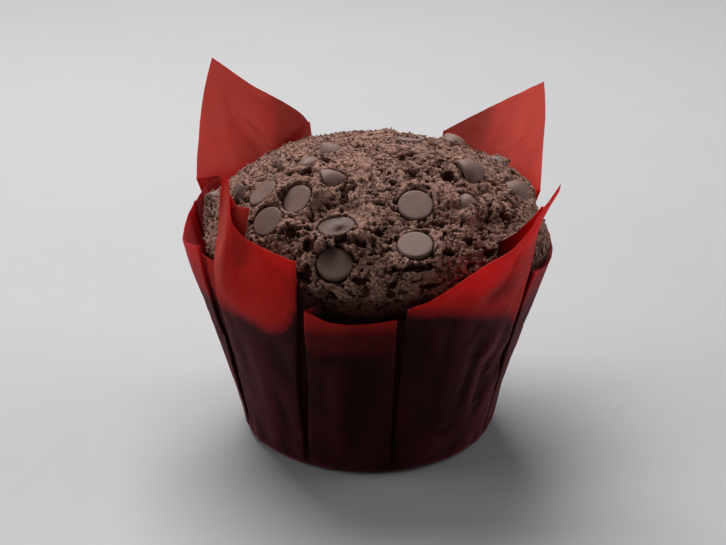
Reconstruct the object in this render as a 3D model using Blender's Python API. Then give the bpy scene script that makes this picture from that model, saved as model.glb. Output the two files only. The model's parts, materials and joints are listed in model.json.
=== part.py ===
"""A chocolate chip muffin in its tulip wrap.

The wrap is one square of red parchment pressed into a round cup. Its four corners stand
up as petals, the middles of its four sides make low panels between them, and the spare
paper is taken in by an inverted pleat at each of the eight places where a petal meets a
panel. The muffin fills the cup and domes over its rim, with chips set into the crust.

Metres, +Z up. The origin is the middle of the wrap's flat underside. An azimuth is
measured from +X towards +Y, so the front of the muffin faces -Y at -90 degrees.
"""

from collections import namedtuple
from math import atan2, cos, degrees, exp, pi, radians, sin, tau

import bmesh
import bpy
from mathutils import Matrix, Vector

# Wrap
BASE_RADIUS = 0.0270  # where the wall would meet the floor without its rounding
BASE_ROUNDING = 0.0020  # length of the bend, each way from that corner
PAPER = 0.00045  # pressed layers of parchment
FOOT_LEAN = 13.0  # degrees from the vertical at the floor, growing evenly to the rim
RIM_LEAN = 20.0
RIM_SLANT = 0.0440  # slant height where the sheet starts to bend away from the cup
BEND_LENGTH = 0.0120  # slant length of that bend
PLEAT_DEPTH = 0.0012  # of a groove at the rim
PLEAT_START = 0.0030  # slant height where a pleat begins
FOOT_WIDTH = 0.45  # width in degrees of a groove at the floor, as a part of its width at the rim
GROOVE_FLOOR = 0.55  # width of a groove's floor, as a part of its opening
WALL_ROWS = (0.014, 0.028, 0.040)  # slant heights of the wall's rows
UPPER_ROWS = 4  # rows from there to the sheet's edge
COLUMN_STEP = 7.0  # degrees between the columns of a panel, at most

# A pleat: azimuth of its groove at the rim and at the floor, and its width at the rim
Pleat = namedtuple("Pleat", "rim foot width")
PLEATS = (
    Pleat(-110.0, -118.5, 2.6),
    Pleat(-80.5, -80.0, 3.0),
    Pleat(-34.0, -25.0, 3.0),
    Pleat(22.5, 24.0, 3.0),
    Pleat(68.5, 67.0, 3.0),
    Pleat(106.5, 107.0, 3.0),
    Pleat(156.5, 155.0, 3.0),
    Pleat(214.2, 200.5, 7.6),
)

# The sheet's edge on the panel after each pleat, from fold to fold: azimuth at the rim,
# slant height of the edge in millimetres, and the lean above the rim in degrees
EDGES = (
    ((-108.7, 43.6, 18), (-103.0, 41.4, 18), (-96.0, 40.8, 18), (-82.0, 42.0, 18)),
    ((-79.0, 44.8, 22), (-74.0, 46.0, 22), (-70.0, 47.9, 22), (-60.0, 53.6, 23), (-50.0, 57.2, 24),
     (-48.0, 63.0, 24), (-46.0, 72.8, 26), (-43.5, 68.5, 22), (-35.5, 60.5, 10)),
    ((-32.5, 45.5, 20), (-8.0, 43.0, 20), (21.0, 45.0, 18)),
    ((24.0, 50.0, 24), (31.0, 57.0, 27), (40.6, 72.7, 27), (54.0, 64.3, 27), (67.0, 57.0, 25)),
    ((70.0, 46.5, 18), (88.0, 45.0, 18), (105.0, 46.5, 18)),
    ((108.0, 59.0, 25), (118.5, 65.6, 25), (132.6, 76.9, 25), (147.0, 60.5, 24), (155.0, 52.5, 22)),
    ((158.0, 49.0, 8), (184.0, 46.0, 8), (204.0, 49.5, 8), (210.4, 50.5, 6)),
    ((218.0, 63.0, -6), (220.4, 68.2, -8), (223.0, 61.8, -8), (227.0, 56.8, -8),
     (237.5, 54.8, -5), (248.7, 53.6, -2)),
)

# Muffin
CAKE_RADIUS = 0.0370  # at its widest, just above the rim
CAKE_LOPSIDED = 0.0008  # wider by this to the right, narrower to the left
CAKE_OUT_OF_ROUND = 0.0003
CAKE_OFFSET = Vector((0.0004, 0.0, 0.0))  # of the dome's middle
SHOULDER_HEIGHT = 0.0440  # height of the widest ring
DOME_RISE = 0.0193  # from there to the top
DOME_FULLNESS = 2.08  # 2 is an ellipse, more is boxier
DOME_SWELLS = (0.0007, 0.0005)  # height of its two-sided and three-sided swells
DOME_SLUMP = 0.0018  # how far its flank has sunk in on one side
SLUMP_AZIMUTH = 18.0
SLUMP_WIDTH = 36.0
SIDE_HEIGHTS = (0.0360, 0.0200, 0.0036)  # heights of the rings down the side
CAKE_CLEARANCE = 0.0008  # from the wrap's groove floors, with room for their facets
FLOOR_CLEARANCE = 0.0004
CAKE_SEGMENTS = 40
DOME_RINGS = 8

# Chips
CHIP_RADIUS = 0.00365
CHIP_HEIGHT = 0.0050
CHIP_MIDDLE = 0.0019  # height of the middle of its bulk above its foot
CHIP_SEGMENTS = 10
POCKET_SEGMENTS = 8
CHIP_CLEARANCE = 0.00035
POCKET_SPARE = 0.00025  # more room, because a pocket's flats cut inside its round

# A chip: azimuth in degrees and place from the dome's top (0) to its widest ring (1); how
# far it is tipped, from flat foot outwards (0) over lying on its side (90) to peak outwards
# (180); the azimuth that its peak tips towards; how deep its middle is sunk; and its size
Chip = namedtuple("Chip", "azimuth place tip heading sink size")
CHIPS = (
    Chip(-67, 0.42, 16, 64, 0.0014, 1.00),
    Chip(-74, 0.67, 20, -58, 0.0013, 1.00),
    Chip(-102, 0.80, 20, -112, 0.0013, 1.00),
    Chip(-131, 0.64, 6, 27, 0.0014, 0.93),
    Chip(-125, 0.47, 22, 37, 0.0014, 0.93),
    Chip(-103, 0.59, 28, -86, 0.0019, 1.06),
    Chip(-116, 0.30, 104, 10, 0.0014, 0.97),
    Chip(-144, 0.51, 12, 0, 0.0011, 0.93),
    Chip(-20, 0.39, 118, 20, 0.0001, 1.05),
    Chip(38, 0.41, 138, 140, 0.0003, 0.88),
    Chip(-7, 0.64, 160, 60, 0.0010, 0.98),
    Chip(-180, 0.15, 150, 160, 0.0010, 0.95),
    Chip(-151, 0.26, 132, -110, 0.0014, 0.92),
    Chip(44, 0.20, 6, 90, 0.0013, 0.85),
    Chip(-162, 0.57, 80, 200, 0.0016, 0.85),
    Chip(-178, 0.36, 100, 180, 0.0017, 0.90),
    Chip(-41, 0.79, 60, -45, 0.0019, 0.80),
    Chip(-45, 0.49, 96, -130, 0.0017, 0.95),
    Chip(14, 0.80, 40, 200, 0.0016, 0.92),
    Chip(18, 0.58, 100, 180, 0.0006, 0.85),
    Chip(60, 0.72, 6, 60, 0.0013, 1.00),
    Chip(88, 0.60, 30, 20, 0.0014, 0.97),
    Chip(107, 0.86, 12, 100, 0.0014, 1.02),
    Chip(126, 0.68, 76, 240, 0.0014, 0.95),
    Chip(148, 0.86, 10, 150, 0.0014, 1.00),
    Chip(36, 0.88, 66, 120, 0.0015, 0.95),
    Chip(176, 0.76, 84, 30, 0.0016, 0.92),
)


def clear_scene():
    for item in list(bpy.data.objects):
        bpy.data.objects.remove(item, do_unlink=True)


def make_material(name, colour, roughness):
    material = bpy.data.materials.new(name)
    material.use_nodes = True
    shader = material.node_tree.nodes["Principled BSDF"]
    shader.inputs["Base Color"].default_value = (*colour, 1.0)
    shader.inputs["Roughness"].default_value = roughness
    shader.inputs["Metallic"].default_value = 0.0
    return material


def add_object(name, shape, material):
    """Turn a bmesh into an object with one material and smooth rounds."""
    bmesh.ops.recalc_face_normals(shape, faces=shape.faces)
    mesh = bpy.data.meshes.new(name)
    shape.to_mesh(mesh)
    shape.free()
    mesh.materials.append(material)
    mesh.shade_smooth()
    mesh.set_sharp_from_angle(angle=radians(40))
    item = bpy.data.objects.new(name, mesh)
    bpy.context.scene.collection.objects.link(item)
    return item


def ease(value):
    """0 below 0, 1 above 1, and a smooth step between."""
    value = min(max(value, 0.0), 1.0)
    return value * value * (3.0 - 2.0 * value)


def mix(start, end, part):
    return start + (end - start) * part


def polar(radius, azimuth, height):
    return Vector((radius * cos(azimuth), radius * sin(azimuth), height))


# ---- Wrap ----


def wall_path(slant, lean):
    """Radius and height of the sheet's middle, a slant distance up from the floor's corner."""
    radius = BASE_RADIUS
    height = PAPER / 2
    steps = max(1, round(slant / 0.001))
    for step in range(steps):
        along = (step + 0.5) * slant / steps
        wall = mix(FOOT_LEAN, RIM_LEAN, min(along / RIM_SLANT, 1.0))
        bend = ease((along - RIM_SLANT) / BEND_LENGTH + 0.5)
        angle = radians(mix(wall, lean, bend))
        radius += sin(angle) * slant / steps
        height += cos(angle) * slant / steps
    return radius, height


def rise_part(slant):
    """0 at the floor and 1 from the rim up."""
    return min(slant / RIM_SLANT, 1.0)


def groove_depth(slant):
    return PLEAT_DEPTH * ease((slant - PLEAT_START) / (RIM_SLANT - PLEAT_START))


def pleat_edge(index, side, slant):
    """Azimuth of a groove's edge, side -1 before the groove and 1 after it."""
    pleat = PLEATS[index % len(PLEATS)]
    turns = 360.0 * (index // len(PLEATS))
    part = rise_part(slant)
    half = pleat.width / 2 * mix(FOOT_WIDTH, 1.0, part)
    return mix(pleat.foot, pleat.rim, part) + side * half + turns


def refined(edge):
    """The points of a sheet's edge with more between them where they lie far apart."""
    points = [edge[0]]
    for start, end in zip(edge, edge[1:]):
        count = max(1, round((end[0] - start[0]) / COLUMN_STEP))
        for i in range(count):
            points.append([mix(a, b, (i + 1) / count) for a, b in zip(start, end)])
    return points


def column_slants(top):
    return [BASE_ROUNDING, *WALL_ROWS] + [
        mix(WALL_ROWS[-1], top, (i + 1) / UPPER_ROWS) for i in range(UPPER_ROWS)
    ]


def with_foot(points):
    """Add the rounding from the floor to the first point of a column."""
    foot = points[0]
    azimuth = atan2(foot.y, foot.x)
    corner = polar(BASE_RADIUS, azimuth, PAPER / 2)
    inner = polar(BASE_RADIUS - BASE_ROUNDING, azimuth, PAPER / 2)
    bend = [inner.lerp(corner, t).lerp(corner.lerp(foot, t), t) for t in (0.0, 0.35, 0.68)]
    return bend + points


def panel_columns(index):
    """Columns of points over one panel, from its first fold to its last."""
    columns = []
    edge = refined(EDGES[index])
    for azimuth, top, lean in edge:
        part = (azimuth - edge[0][0]) / (edge[-1][0] - edge[0][0])
        points = []
        for slant in column_slants(top / 1000):
            radius, height = wall_path(slant, lean)
            first = pleat_edge(index, 1, slant)
            last = pleat_edge(index + 1, -1, slant)
            points.append(polar(radius, radians(mix(first, last, part)), height))
        columns.append(with_foot(points))
    return columns


def groove_columns(index):
    """The two columns along the floor of the groove before a panel."""
    columns = []
    top = min(EDGES[index - 1][-1][1], EDGES[index][0][1]) / 1000
    for side, edge in ((-1, EDGES[index - 1][-1]), (1, EDGES[index][0])):
        points = []
        for slant in column_slants(top):
            radius, height = wall_path(slant, edge[2])
            middle = (pleat_edge(index, -1, slant) + pleat_edge(index, 1, slant)) / 2
            azimuth = mix(middle, pleat_edge(index, side, slant), GROOVE_FLOOR)
            points.append(polar(radius - groove_depth(slant), radians(azimuth), height))
        columns.append(with_foot(points))
    return columns


def make_wrap(material):
    """One folded sheet, given its thickness about its middle surface."""
    shape = bmesh.new()
    columns = []
    for index in range(len(PLEATS)):
        for points in groove_columns(index) + panel_columns(index):
            columns.append([shape.verts.new(point) for point in points])
    for index, right in enumerate(columns):
        left = columns[index - 1]
        for row in range(len(right) - 1):
            shape.faces.new((left[row], right[row], right[row + 1], left[row + 1]))
    shape.faces.new([column[0] for column in columns])
    wrap = add_object("paper_wrap", shape, material)
    wall = wrap.modifiers.new("Paper", "SOLIDIFY")
    wall.thickness = PAPER
    wall.offset = 0.0
    wall.use_even_offset = True
    return wrap


# ---- Muffin ----


def cake_radius(azimuth):
    """Radius of the widest ring, which is not quite round."""
    return CAKE_RADIUS + CAKE_LOPSIDED * cos(azimuth) + CAKE_OUT_OF_ROUND * cos(3.0 * azimuth + 1.1)


def dome_point(azimuth, place):
    """A point of the dome, from its top (place 0) to its widest ring (place 1)."""
    angle = place * pi / 2
    power = 2.0 / DOME_FULLNESS
    across = cake_radius(azimuth) * sin(angle) ** power
    away = (degrees(azimuth) - SLUMP_AZIMUTH + 180.0) % 360.0 - 180.0
    across -= DOME_SLUMP * exp(-((away / SLUMP_WIDTH) ** 2)) * sin(pi * place**2)
    rise = DOME_RISE * max(cos(angle), 0.0) ** power
    swell = DOME_SWELLS[0] * sin(2.0 * azimuth + 0.6)
    swell += DOME_SWELLS[1] * cos(3.0 * azimuth - 0.8 + 2.0 * place)
    lift = swell * sin(pi * place)
    return CAKE_OFFSET + polar(across, azimuth, SHOULDER_HEIGHT + rise + lift)


def dome_normal(azimuth, place):
    step = 0.01
    round_way = dome_point(azimuth + step, place) - dome_point(azimuth - step, place)
    down_way = dome_point(azimuth, place + step) - dome_point(azimuth, place - step)
    return down_way.cross(round_way).normalized()


def inner_radius(height):
    """Radius that stays clear of the wrap's folds, for a height on the straight wall."""
    slant = height / cos(radians((FOOT_LEAN + RIM_LEAN) / 2))
    return wall_path(slant, RIM_LEAN)[0] - groove_depth(slant) - PAPER / 2 - CAKE_CLEARANCE


def cake_rings():
    """Rings of points from the top of the dome down to the floor."""
    azimuths = [tau * i / CAKE_SEGMENTS for i in range(CAKE_SEGMENTS)]
    rings = []
    for ring in range(1, DOME_RINGS + 1):
        rings.append([dome_point(a, ring / DOME_RINGS) for a in azimuths])
    for height in SIDE_HEIGHTS:
        rings.append([polar(inner_radius(height), a, height) for a in azimuths])
    floor = PAPER + FLOOR_CLEARANCE
    rings.append([polar(BASE_RADIUS - BASE_ROUNDING - PAPER, a, floor) for a in azimuths])
    return rings


def make_cake(material):
    shape = bmesh.new()
    rings = [[shape.verts.new(p) for p in ring] for ring in cake_rings()]
    top = shape.verts.new(dome_point(0.0, 0.0))
    for i in range(CAKE_SEGMENTS):
        shape.faces.new((top, rings[0][i - 1], rings[0][i]))
    for upper, lower in zip(rings, rings[1:]):
        for i in range(CAKE_SEGMENTS):
            shape.faces.new((upper[i], upper[i - 1], lower[i - 1], lower[i]))
    shape.faces.new(rings[-1])
    return add_object("muffin_cake", shape, material)


# ---- Chips ----


def chip_profile(growth):
    """Radius and height up the side of a chip: a flat foot, a round edge and a soft peak."""
    outline = ((0.90, 0.00), (1.00, 0.12), (0.93, 0.36), (0.66, 0.66), (0.28, 0.90))
    rings = [(CHIP_RADIUS * r + growth, CHIP_HEIGHT * h) for r, h in outline]
    rings[0] = (rings[0][0], -growth)
    return rings, CHIP_HEIGHT + growth


def turned_chip(segments, growth):
    """A chip standing on its flat foot at the origin, its peak up, grown all over."""
    rings, peak = chip_profile(growth)
    shape = bmesh.new()
    loops = []
    for radius, height in rings:
        loops.append([shape.verts.new(polar(radius, tau * i / segments, height)) for i in range(segments)])
    for lower, upper in zip(loops, loops[1:]):
        for i in range(segments):
            shape.faces.new((lower[i - 1], lower[i], upper[i], upper[i - 1]))
    tip = shape.verts.new((0.0, 0.0, peak))
    for i in range(segments):
        shape.faces.new((loops[-1][i - 1], loops[-1][i], tip))
    shape.faces.new(loops[0])
    return shape


def chip_placement(chip):
    """Moves a chip from its foot at the origin to its place in the crust."""
    azimuth = radians(chip.azimuth)
    normal = dome_normal(azimuth, chip.place)
    heading = polar(1.0, radians(chip.heading), 0.0)
    sideways = (heading - normal * heading.dot(normal)).normalized()
    tip = radians(chip.tip)
    axis = sideways * sin(tip) - normal * cos(tip)
    middle = dome_point(azimuth, chip.place) - normal * chip.sink
    turn = axis.to_track_quat("Z", "Y").to_matrix().to_4x4()
    centring = Matrix.Translation((0.0, 0.0, -CHIP_MIDDLE))
    return Matrix.Translation(middle) @ turn @ Matrix.Scale(chip.size, 4) @ centring


def add_chip(name, chip, segments, growth, material):
    item = add_object(name, turned_chip(segments, growth), material)
    item.data.transform(chip_placement(chip))
    return item


def cut_pocket(cake, chip, name, material):
    """Sink a pocket for the chip into the cake, with a little room round it."""
    cutter = add_chip(name, chip, POCKET_SEGMENTS, CHIP_CLEARANCE / chip.size + POCKET_SPARE, material)
    cutter.hide_render = True
    cutter.display_type = "WIRE"
    cut = cake.modifiers.new(name, "BOOLEAN")
    cut.operation = "DIFFERENCE"
    cut.solver = "EXACT"
    cut.object = cutter


def main():
    clear_scene()
    red_paper = make_material("red_parchment", (0.32, 0.014, 0.010), 0.6)
    crumb = make_material("chocolate_crumb", (0.055, 0.028, 0.020), 0.85)
    chocolate = make_material("chocolate", (0.085, 0.040, 0.028), 0.45)
    make_wrap(red_paper)
    cake = make_cake(crumb)
    for number, chip in enumerate(CHIPS, start=1):
        add_chip(f"chip_{number:02d}", chip, CHIP_SEGMENTS, 0.0, chocolate)
        cut_pocket(cake, chip, f"pocket_{number:02d}", crumb)


main()
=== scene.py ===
"""Looks for a chocolate chip muffin in its red tulip wrap.

The wrap is one square of parchment, folded into eight inverted box pleats whose flaps lie
behind its panels. The crust is one porous mesh with a pocket for each chip, the chips are
turned pieces set into it, and loose crumbs lie over both.

Metres, +Z up. An azimuth is measured from +X towards +Y, so the front faces -Y at -90 degrees.
"""

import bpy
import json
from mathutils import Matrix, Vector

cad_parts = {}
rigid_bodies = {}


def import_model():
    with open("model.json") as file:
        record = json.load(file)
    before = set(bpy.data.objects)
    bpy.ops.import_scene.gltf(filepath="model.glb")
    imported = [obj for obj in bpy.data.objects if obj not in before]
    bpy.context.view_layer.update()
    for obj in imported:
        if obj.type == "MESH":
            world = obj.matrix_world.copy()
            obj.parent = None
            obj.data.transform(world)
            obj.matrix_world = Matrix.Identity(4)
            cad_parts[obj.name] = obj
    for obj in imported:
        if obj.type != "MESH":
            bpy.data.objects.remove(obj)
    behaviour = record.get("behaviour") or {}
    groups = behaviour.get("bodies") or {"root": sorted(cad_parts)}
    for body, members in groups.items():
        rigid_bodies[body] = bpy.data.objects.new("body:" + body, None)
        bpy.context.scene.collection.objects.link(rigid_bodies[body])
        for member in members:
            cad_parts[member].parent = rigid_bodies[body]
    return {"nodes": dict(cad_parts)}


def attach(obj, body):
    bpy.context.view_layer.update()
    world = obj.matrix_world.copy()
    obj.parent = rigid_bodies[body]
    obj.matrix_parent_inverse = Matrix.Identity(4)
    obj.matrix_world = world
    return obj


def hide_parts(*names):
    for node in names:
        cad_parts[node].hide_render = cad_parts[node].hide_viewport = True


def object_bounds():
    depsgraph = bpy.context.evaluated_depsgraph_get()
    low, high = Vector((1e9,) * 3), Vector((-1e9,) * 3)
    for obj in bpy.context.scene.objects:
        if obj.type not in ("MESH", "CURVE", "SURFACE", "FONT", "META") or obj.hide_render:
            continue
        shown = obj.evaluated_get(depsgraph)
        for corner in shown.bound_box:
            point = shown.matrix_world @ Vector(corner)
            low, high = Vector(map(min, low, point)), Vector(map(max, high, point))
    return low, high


bl_info = {
    "name": "Chocolate Chip Muffin",
    "version": (1, 0, 0),
    "blender": (4, 5, 0),
    "location": "3D View > Sidebar > Muffin",
    "description": "Dresses a chocolate chip muffin and its tulip wrap",
    "category": "Add Mesh",
}

import json
from collections import namedtuple
from contextlib import contextmanager
from math import cos, pi, radians, sin

import bpy
import numpy as np
from bpy.props import FloatProperty, FloatVectorProperty, IntProperty, PointerProperty
from mathutils import Vector, noise

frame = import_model()
CAD_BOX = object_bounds()
BODY = "root"
MM = 0.001

# Wrap, as it is folded
BASE_RADIUS = 0.0270  # where the wall would meet the floor without its rounding
BASE_ROUNDING = 0.0020
FOOT_LEAN = 13.0  # degrees from the vertical at the floor, growing evenly to the rim
RIM_LEAN = 20.0
RIM_SLANT = 0.0440  # slant height where the sheet starts to bend away from the cup
BEND_LENGTH = 0.0120
SHEET = 0.00012  # thickness of the parchment as it is shown
SHEET_REACH = 0.0820  # longest slant that the wall's path is worked out for
FOLD_RADIUS = 0.00027  # of each fold round the paper's edge
FOLD_START = 0.0015  # slant height where the spare paper starts to fold over
FOLD_LENGTH = 0.0075  # slant length in which it closes
FOOT_SPREAD = 0.00055  # reach of a pleat's paper past its groove at the floor
FOOT_WIDTH = 0.45  # width of a groove at the floor, as a part of that at the rim
WALL_ROWS = 38
UPPER_SLANT = 0.0400
UPPER_ROWS = 36
COLUMN_STEP = 1.5  # degrees
GROOVE_SAG = 0.00012  # how far a groove's middle lies behind its sides
FOOT_ROWS = (0.0, 0.35, 0.68)  # rows of the grid over the floor's rounding, as parts of it
WALL_RADIUS = 0.0400  # rough radius of the wall, which spreads its patterns
# The inner face's paleness is partly its own paler tone and partly painted sheen where light falls on it
# above the crust
PALE_SHEEN_HEIGHT = 0.0460  # where the inner face starts to turn pale

# A pleat: azimuth of its groove at the rim and at the floor, its width in degrees, the
# width of its flaps as a part of the slant, how far in degrees its groove opens halfway up,
# the parts of its paper between which the edge passes to the next panel's height, how far
# in millimetres that edge dips behind its panels, how far in millimetres the flaps before
# and after it swing inwards above the rim, and how much painted shade darkens the paper on
# either side of its groove
Pleat = namedtuple("Pleat", "rim foot width flap opening passing dip swing shade")
PLEATS = (
    Pleat(-110.0, -118.5, 2.6, 0.075, 2.6, (0.0, 1.0), 0.3, (0.3, 0.0), (2.4, 2.4)),
    Pleat(-80.5, -80.0, 3.0, 0.145, 0.4, (0.0, 1.0), 2.0, (0.0, 0.3), (1.0, 1.0)),
    Pleat(-34.0, -25.0, 3.0, 0.190, 0.0, (0.12, 0.50), 1.1, (5.0, 0.6), (2.4, 1.0)),
    Pleat(22.5, 24.0, 3.0, 0.150, 0.4, (0.0, 1.0), 0.3, (0.4, 1.2), (1.0, 1.0)),
    Pleat(68.5, 67.0, 3.0, 0.145, 0.0, (0.0, 1.0), 0.3, (1.5, 0.4), (1.0, 1.0)),
    Pleat(106.5, 107.0, 3.0, 0.150, 0.5, (0.0, 1.0), 0.3, (0.5, 1.6), (1.0, 1.0)),
    Pleat(156.5, 155.0, 3.0, 0.140, 0.0, (0.0, 1.0), 0.3, (1.0, 0.6), (1.0, 1.0)),
    Pleat(214.2, 200.5, 7.6, 0.136, 0.0, (0.50, 0.64), 2.6, (0.5, 1.4), (0.3, 0.6)),
)

# The sheet's edge on the panel after each pleat, from fold to fold, as corners of it: azimuth
# at the rim, slant height in millimetres, and the sheet's lean above the rim in degrees
EDGES = (
    ((-108.7, 43.6, 18), (-103.0, 41.4, 18), (-96.0, 40.8, 18), (-82.0, 42.0, 18)),
    ((-79.0, 44.8, 22), (-77.6, 45.6, 22), (-74.0, 46.0, 22), (-70.0, 47.9, 22), (-60.0, 53.6, 23),
     (-50.0, 57.2, 24), (-48.2, 59.5, 24), (-48.0, 66.0, 24), (-46.0, 72.8, 26), (-44.5, 70.0, 24),
     (-40.5, 65.5, 18), (-35.5, 61.0, 10)),
    ((-32.5, 45.5, 20), (-8.0, 43.0, 20), (21.0, 45.0, 18)),
    ((24.0, 50.0, 24), (31.0, 57.0, 27), (35.5, 65.6, 27), (40.5, 72.8, 26.5), (47.0, 68.8, 27),
     (55.0, 64.0, 27), (67.0, 57.0, 25)),
    ((70.0, 46.5, 18), (88.0, 45.0, 18), (105.0, 46.5, 18)),
    ((108.0, 58.6, 25), (109.5, 60.9, 25), (113.0, 63.0, 25), (123.5, 69.2, 25), (132.5, 77.0, 25),
     (146.5, 60.5, 24), (155.0, 52.5, 22)),
    ((158.0, 49.0, 8), (184.0, 46.0, 8), (204.0, 49.5, 8), (210.4, 50.5, 6)),
    ((218.0, 63.5, -6), (218.9, 66.0, -8), (219.8, 67.9, -8), (221.3, 65.4, -8), (222.0, 61.4, -8),
     (226.0, 57.0, -8), (230.5, 55.6, -7), (238.0, 54.8, -5), (248.7, 53.6, -2)),
)
POINTED = (1, 3, 5, 7)  # panels that end in a corner of the sheet
CURLS = (0.0, 10.0, 0.0, 0.0, 0.0, 3.0, 0.0, 0.0)  # degrees that each panel's tip curls outwards

# Where the wall stops touching the muffin: azimuth in degrees and slant height in
# millimetres, then how much of the muffin's shade is left above that height
CONTACT = (
    (-180.0, 36.0, 0.25), (-150.0, 37.0, 0.25), (-148.0, 38.0, 0.0), (-138.0, 37.8, 0.0),
    (-129.5, 36.8, 0.0), (-122.5, 35.8, 0.0), (-118.0, 36.8, 0.0), (-114.5, 39.0, 0.0),
    (-112.0, 43.0, 0.0), (-109.5, 31.2, 0.84), (-98.0, 32.0, 0.84), (-81.5, 32.6, 0.93),
    (-79.3, 43.4, 0.0), (-76.5, 42.6, 0.0), (-69.0, 42.0, 0.0), (-58.0, 40.0, 0.0), (-49.5, 38.4, 0.0),
    (-41.5, 36.8, 0.0), (-33.0, 33.0, 0.0), (-28.5, 37.0, 0.50), (20.0, 37.0, 0.45),
    (25.0, 40.0, 0.0), (62.0, 41.0, 0.0), (70.0, 33.0, 0.30), (104.0, 34.0, 0.30),
    (109.0, 41.0, 0.0), (152.0, 42.0, 0.0), (158.0, 36.0, 0.25), (180.0, 36.0, 0.25),
)

# Creases pressed into the wall: azimuth and slant at the middle, half length and half width
# in millimetres, turn from upright in degrees, and depth in millimetres, inwards if positive
Crease = namedtuple("Crease", "azimuth slant length width turn depth")
CREASES = (
    Crease(223, 53, 17, 3.2, 17, -0.95),
    Crease(236, 46, 6, 2.0, 70, 0.35),
    Crease(229, 41, 4, 1.2, 50, -0.30),
    Crease(-133, 22, 15, 1.8, 3, -0.40),
    Crease(-126, 16, 9, 1.3, -6, 0.35),
    Crease(-140, 26, 12, 1.4, 4, 0.35),
    Crease(-120, 28, 8, 1.2, -4, 0.30),
    Crease(-102, 20, 15, 1.4, 2, -0.30),
    Crease(-92, 24, 13, 1.8, -3, 0.30),
    Crease(-50, 45, 5, 2.4, 62, 0.75),
    Crease(-46, 48, 4, 1.4, 40, -0.40),
    Crease(-64, 47, 6, 1.8, 55, 0.30),
    Crease(-43, 21, 9, 1.5, 8, 0.95),
    Crease(-52, 24, 12, 1.6, 5, 0.60),
    Crease(-47, 28, 7, 1.1, 16, -0.55),
    Crease(-33, 23, 5, 1.9, 0, 0.90),
    Crease(-38, 30, 8, 1.3, 6, 0.60),
    Crease(-48, 17, 6, 1.0, -12, -0.45),
    Crease(-36, 15, 5, 0.9, 20, -0.40),
    Crease(-66, 20, 9, 1.4, -8, 0.30),
    Crease(-58, 8, 4, 0.7, 80, -0.35),
    Crease(-157, 30, 16, 1.2, 4, 0.50),
    Crease(-166, 24, 12, 1.2, 0, -0.35),
    Crease(-20, 24, 15, 1.4, -4, 0.50),
    Crease(-8, 28, 12, 1.2, 3, -0.35),
    Crease(2, 26, 15, 1.6, 3, 0.45),
    Crease(48, 30, 16, 1.6, 5, 0.45),
    Crease(56, 24, 12, 1.4, -3, -0.40),
    Crease(41, 56, 15, 2.2, 0, 0.45),
    Crease(50, 52, 11, 1.6, -8, -0.40),
    Crease(33, 50, 10, 1.4, 5, -0.30),
    Crease(80, 24, 14, 1.5, 4, 0.40),
    Crease(94, 26, 12, 1.5, -4, -0.40),
    Crease(126, 54, 14, 1.8, 26, 0.55),
    Crease(134, 60, 15, 2.0, -4, -0.50),
    Crease(118, 52, 9, 1.4, 30, -0.40),
    Crease(144, 48, 10, 1.6, 10, 0.40),
    Crease(140, 26, 14, 1.6, 5, 0.45),
    Crease(128, 22, 12, 1.5, -4, -0.40),
    Crease(176, 26, 14, 1.5, -4, 0.45),
    Crease(186, 22, 12, 1.3, 3, -0.35),
)

# Painted shade where a second layer of paper dims the light through the free sheet: azimuth
# and slant at the middle, half spread in degrees and in millimetres, and how much it dims
Layer = namedtuple("Layer", "azimuth slant round up dim")
SHADED_LAYERS = (
    Layer(113, 56, 6.0, 14, 0.30),
    Layer(124, 50, 8.0, 8, 0.16),
    Layer(60, 54, 9.0, 16, 0.34),
    Layer(47, 50, 5.0, 12, 0.12),
    Layer(-49, 45, 5.0, 3.2, 0.30),
    Layer(229, 53, 4.0, 4.0, 0.25),
)

# Where painted sheen pales the paper's outer face, in the same terms
SHEEN_PATCHES = (
    Layer(220.5, 54, 2.3, 13, 0.85),
    Layer(107, 56, 5.0, 6, 0.85),
)
# Flaps take less of the painted sheen, as they lie in shade
FLAP_PALE_SHEEN = 0.35  # of the inner face on the pleats' flaps, as a part of that on the panels

# Muffin
CAKE_RADIUS = 0.0370
CAKE_LOPSIDED = 0.0008
CAKE_OUT_OF_ROUND = 0.0003
CAKE_OFFSET = 0.0004
SHOULDER_HEIGHT = 0.0440
DOME_RISE = 0.0193
DOME_FULLNESS = 2.08
DOME_SWELLS = (0.0007, 0.0005)
DOME_SLUMP = 0.0018  # how far its flank has sunk in on one side
SLUMP_AZIMUTH = 18.0
SLUMP_WIDTH = 36.0
DRAWN_IN = 0.0024  # how far the crust's edge is drawn in from the wrap on the other side
DRAWN_AZIMUTH = 205.0
DRAWN_WIDTH = 19.0
DOME_DIVISIONS = 396
CRUST_FACES = 197000  # triangles that the crust is brought down to
# The side below the widest ring: height, and radius as a part of the widest
SHOULDER = (
    (0.0434, 0.9985), (0.0426, 0.9945), (0.0416, 0.9860),
    (0.0404, 0.9740), (0.0392, 0.9610), (0.0372, 0.9400),
)
SIDE_RINGS = ((0.0340, 0.9080), (0.0200, 0.8000), (0.0036, 0.7050), (0.0009, 0.6600))
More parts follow.
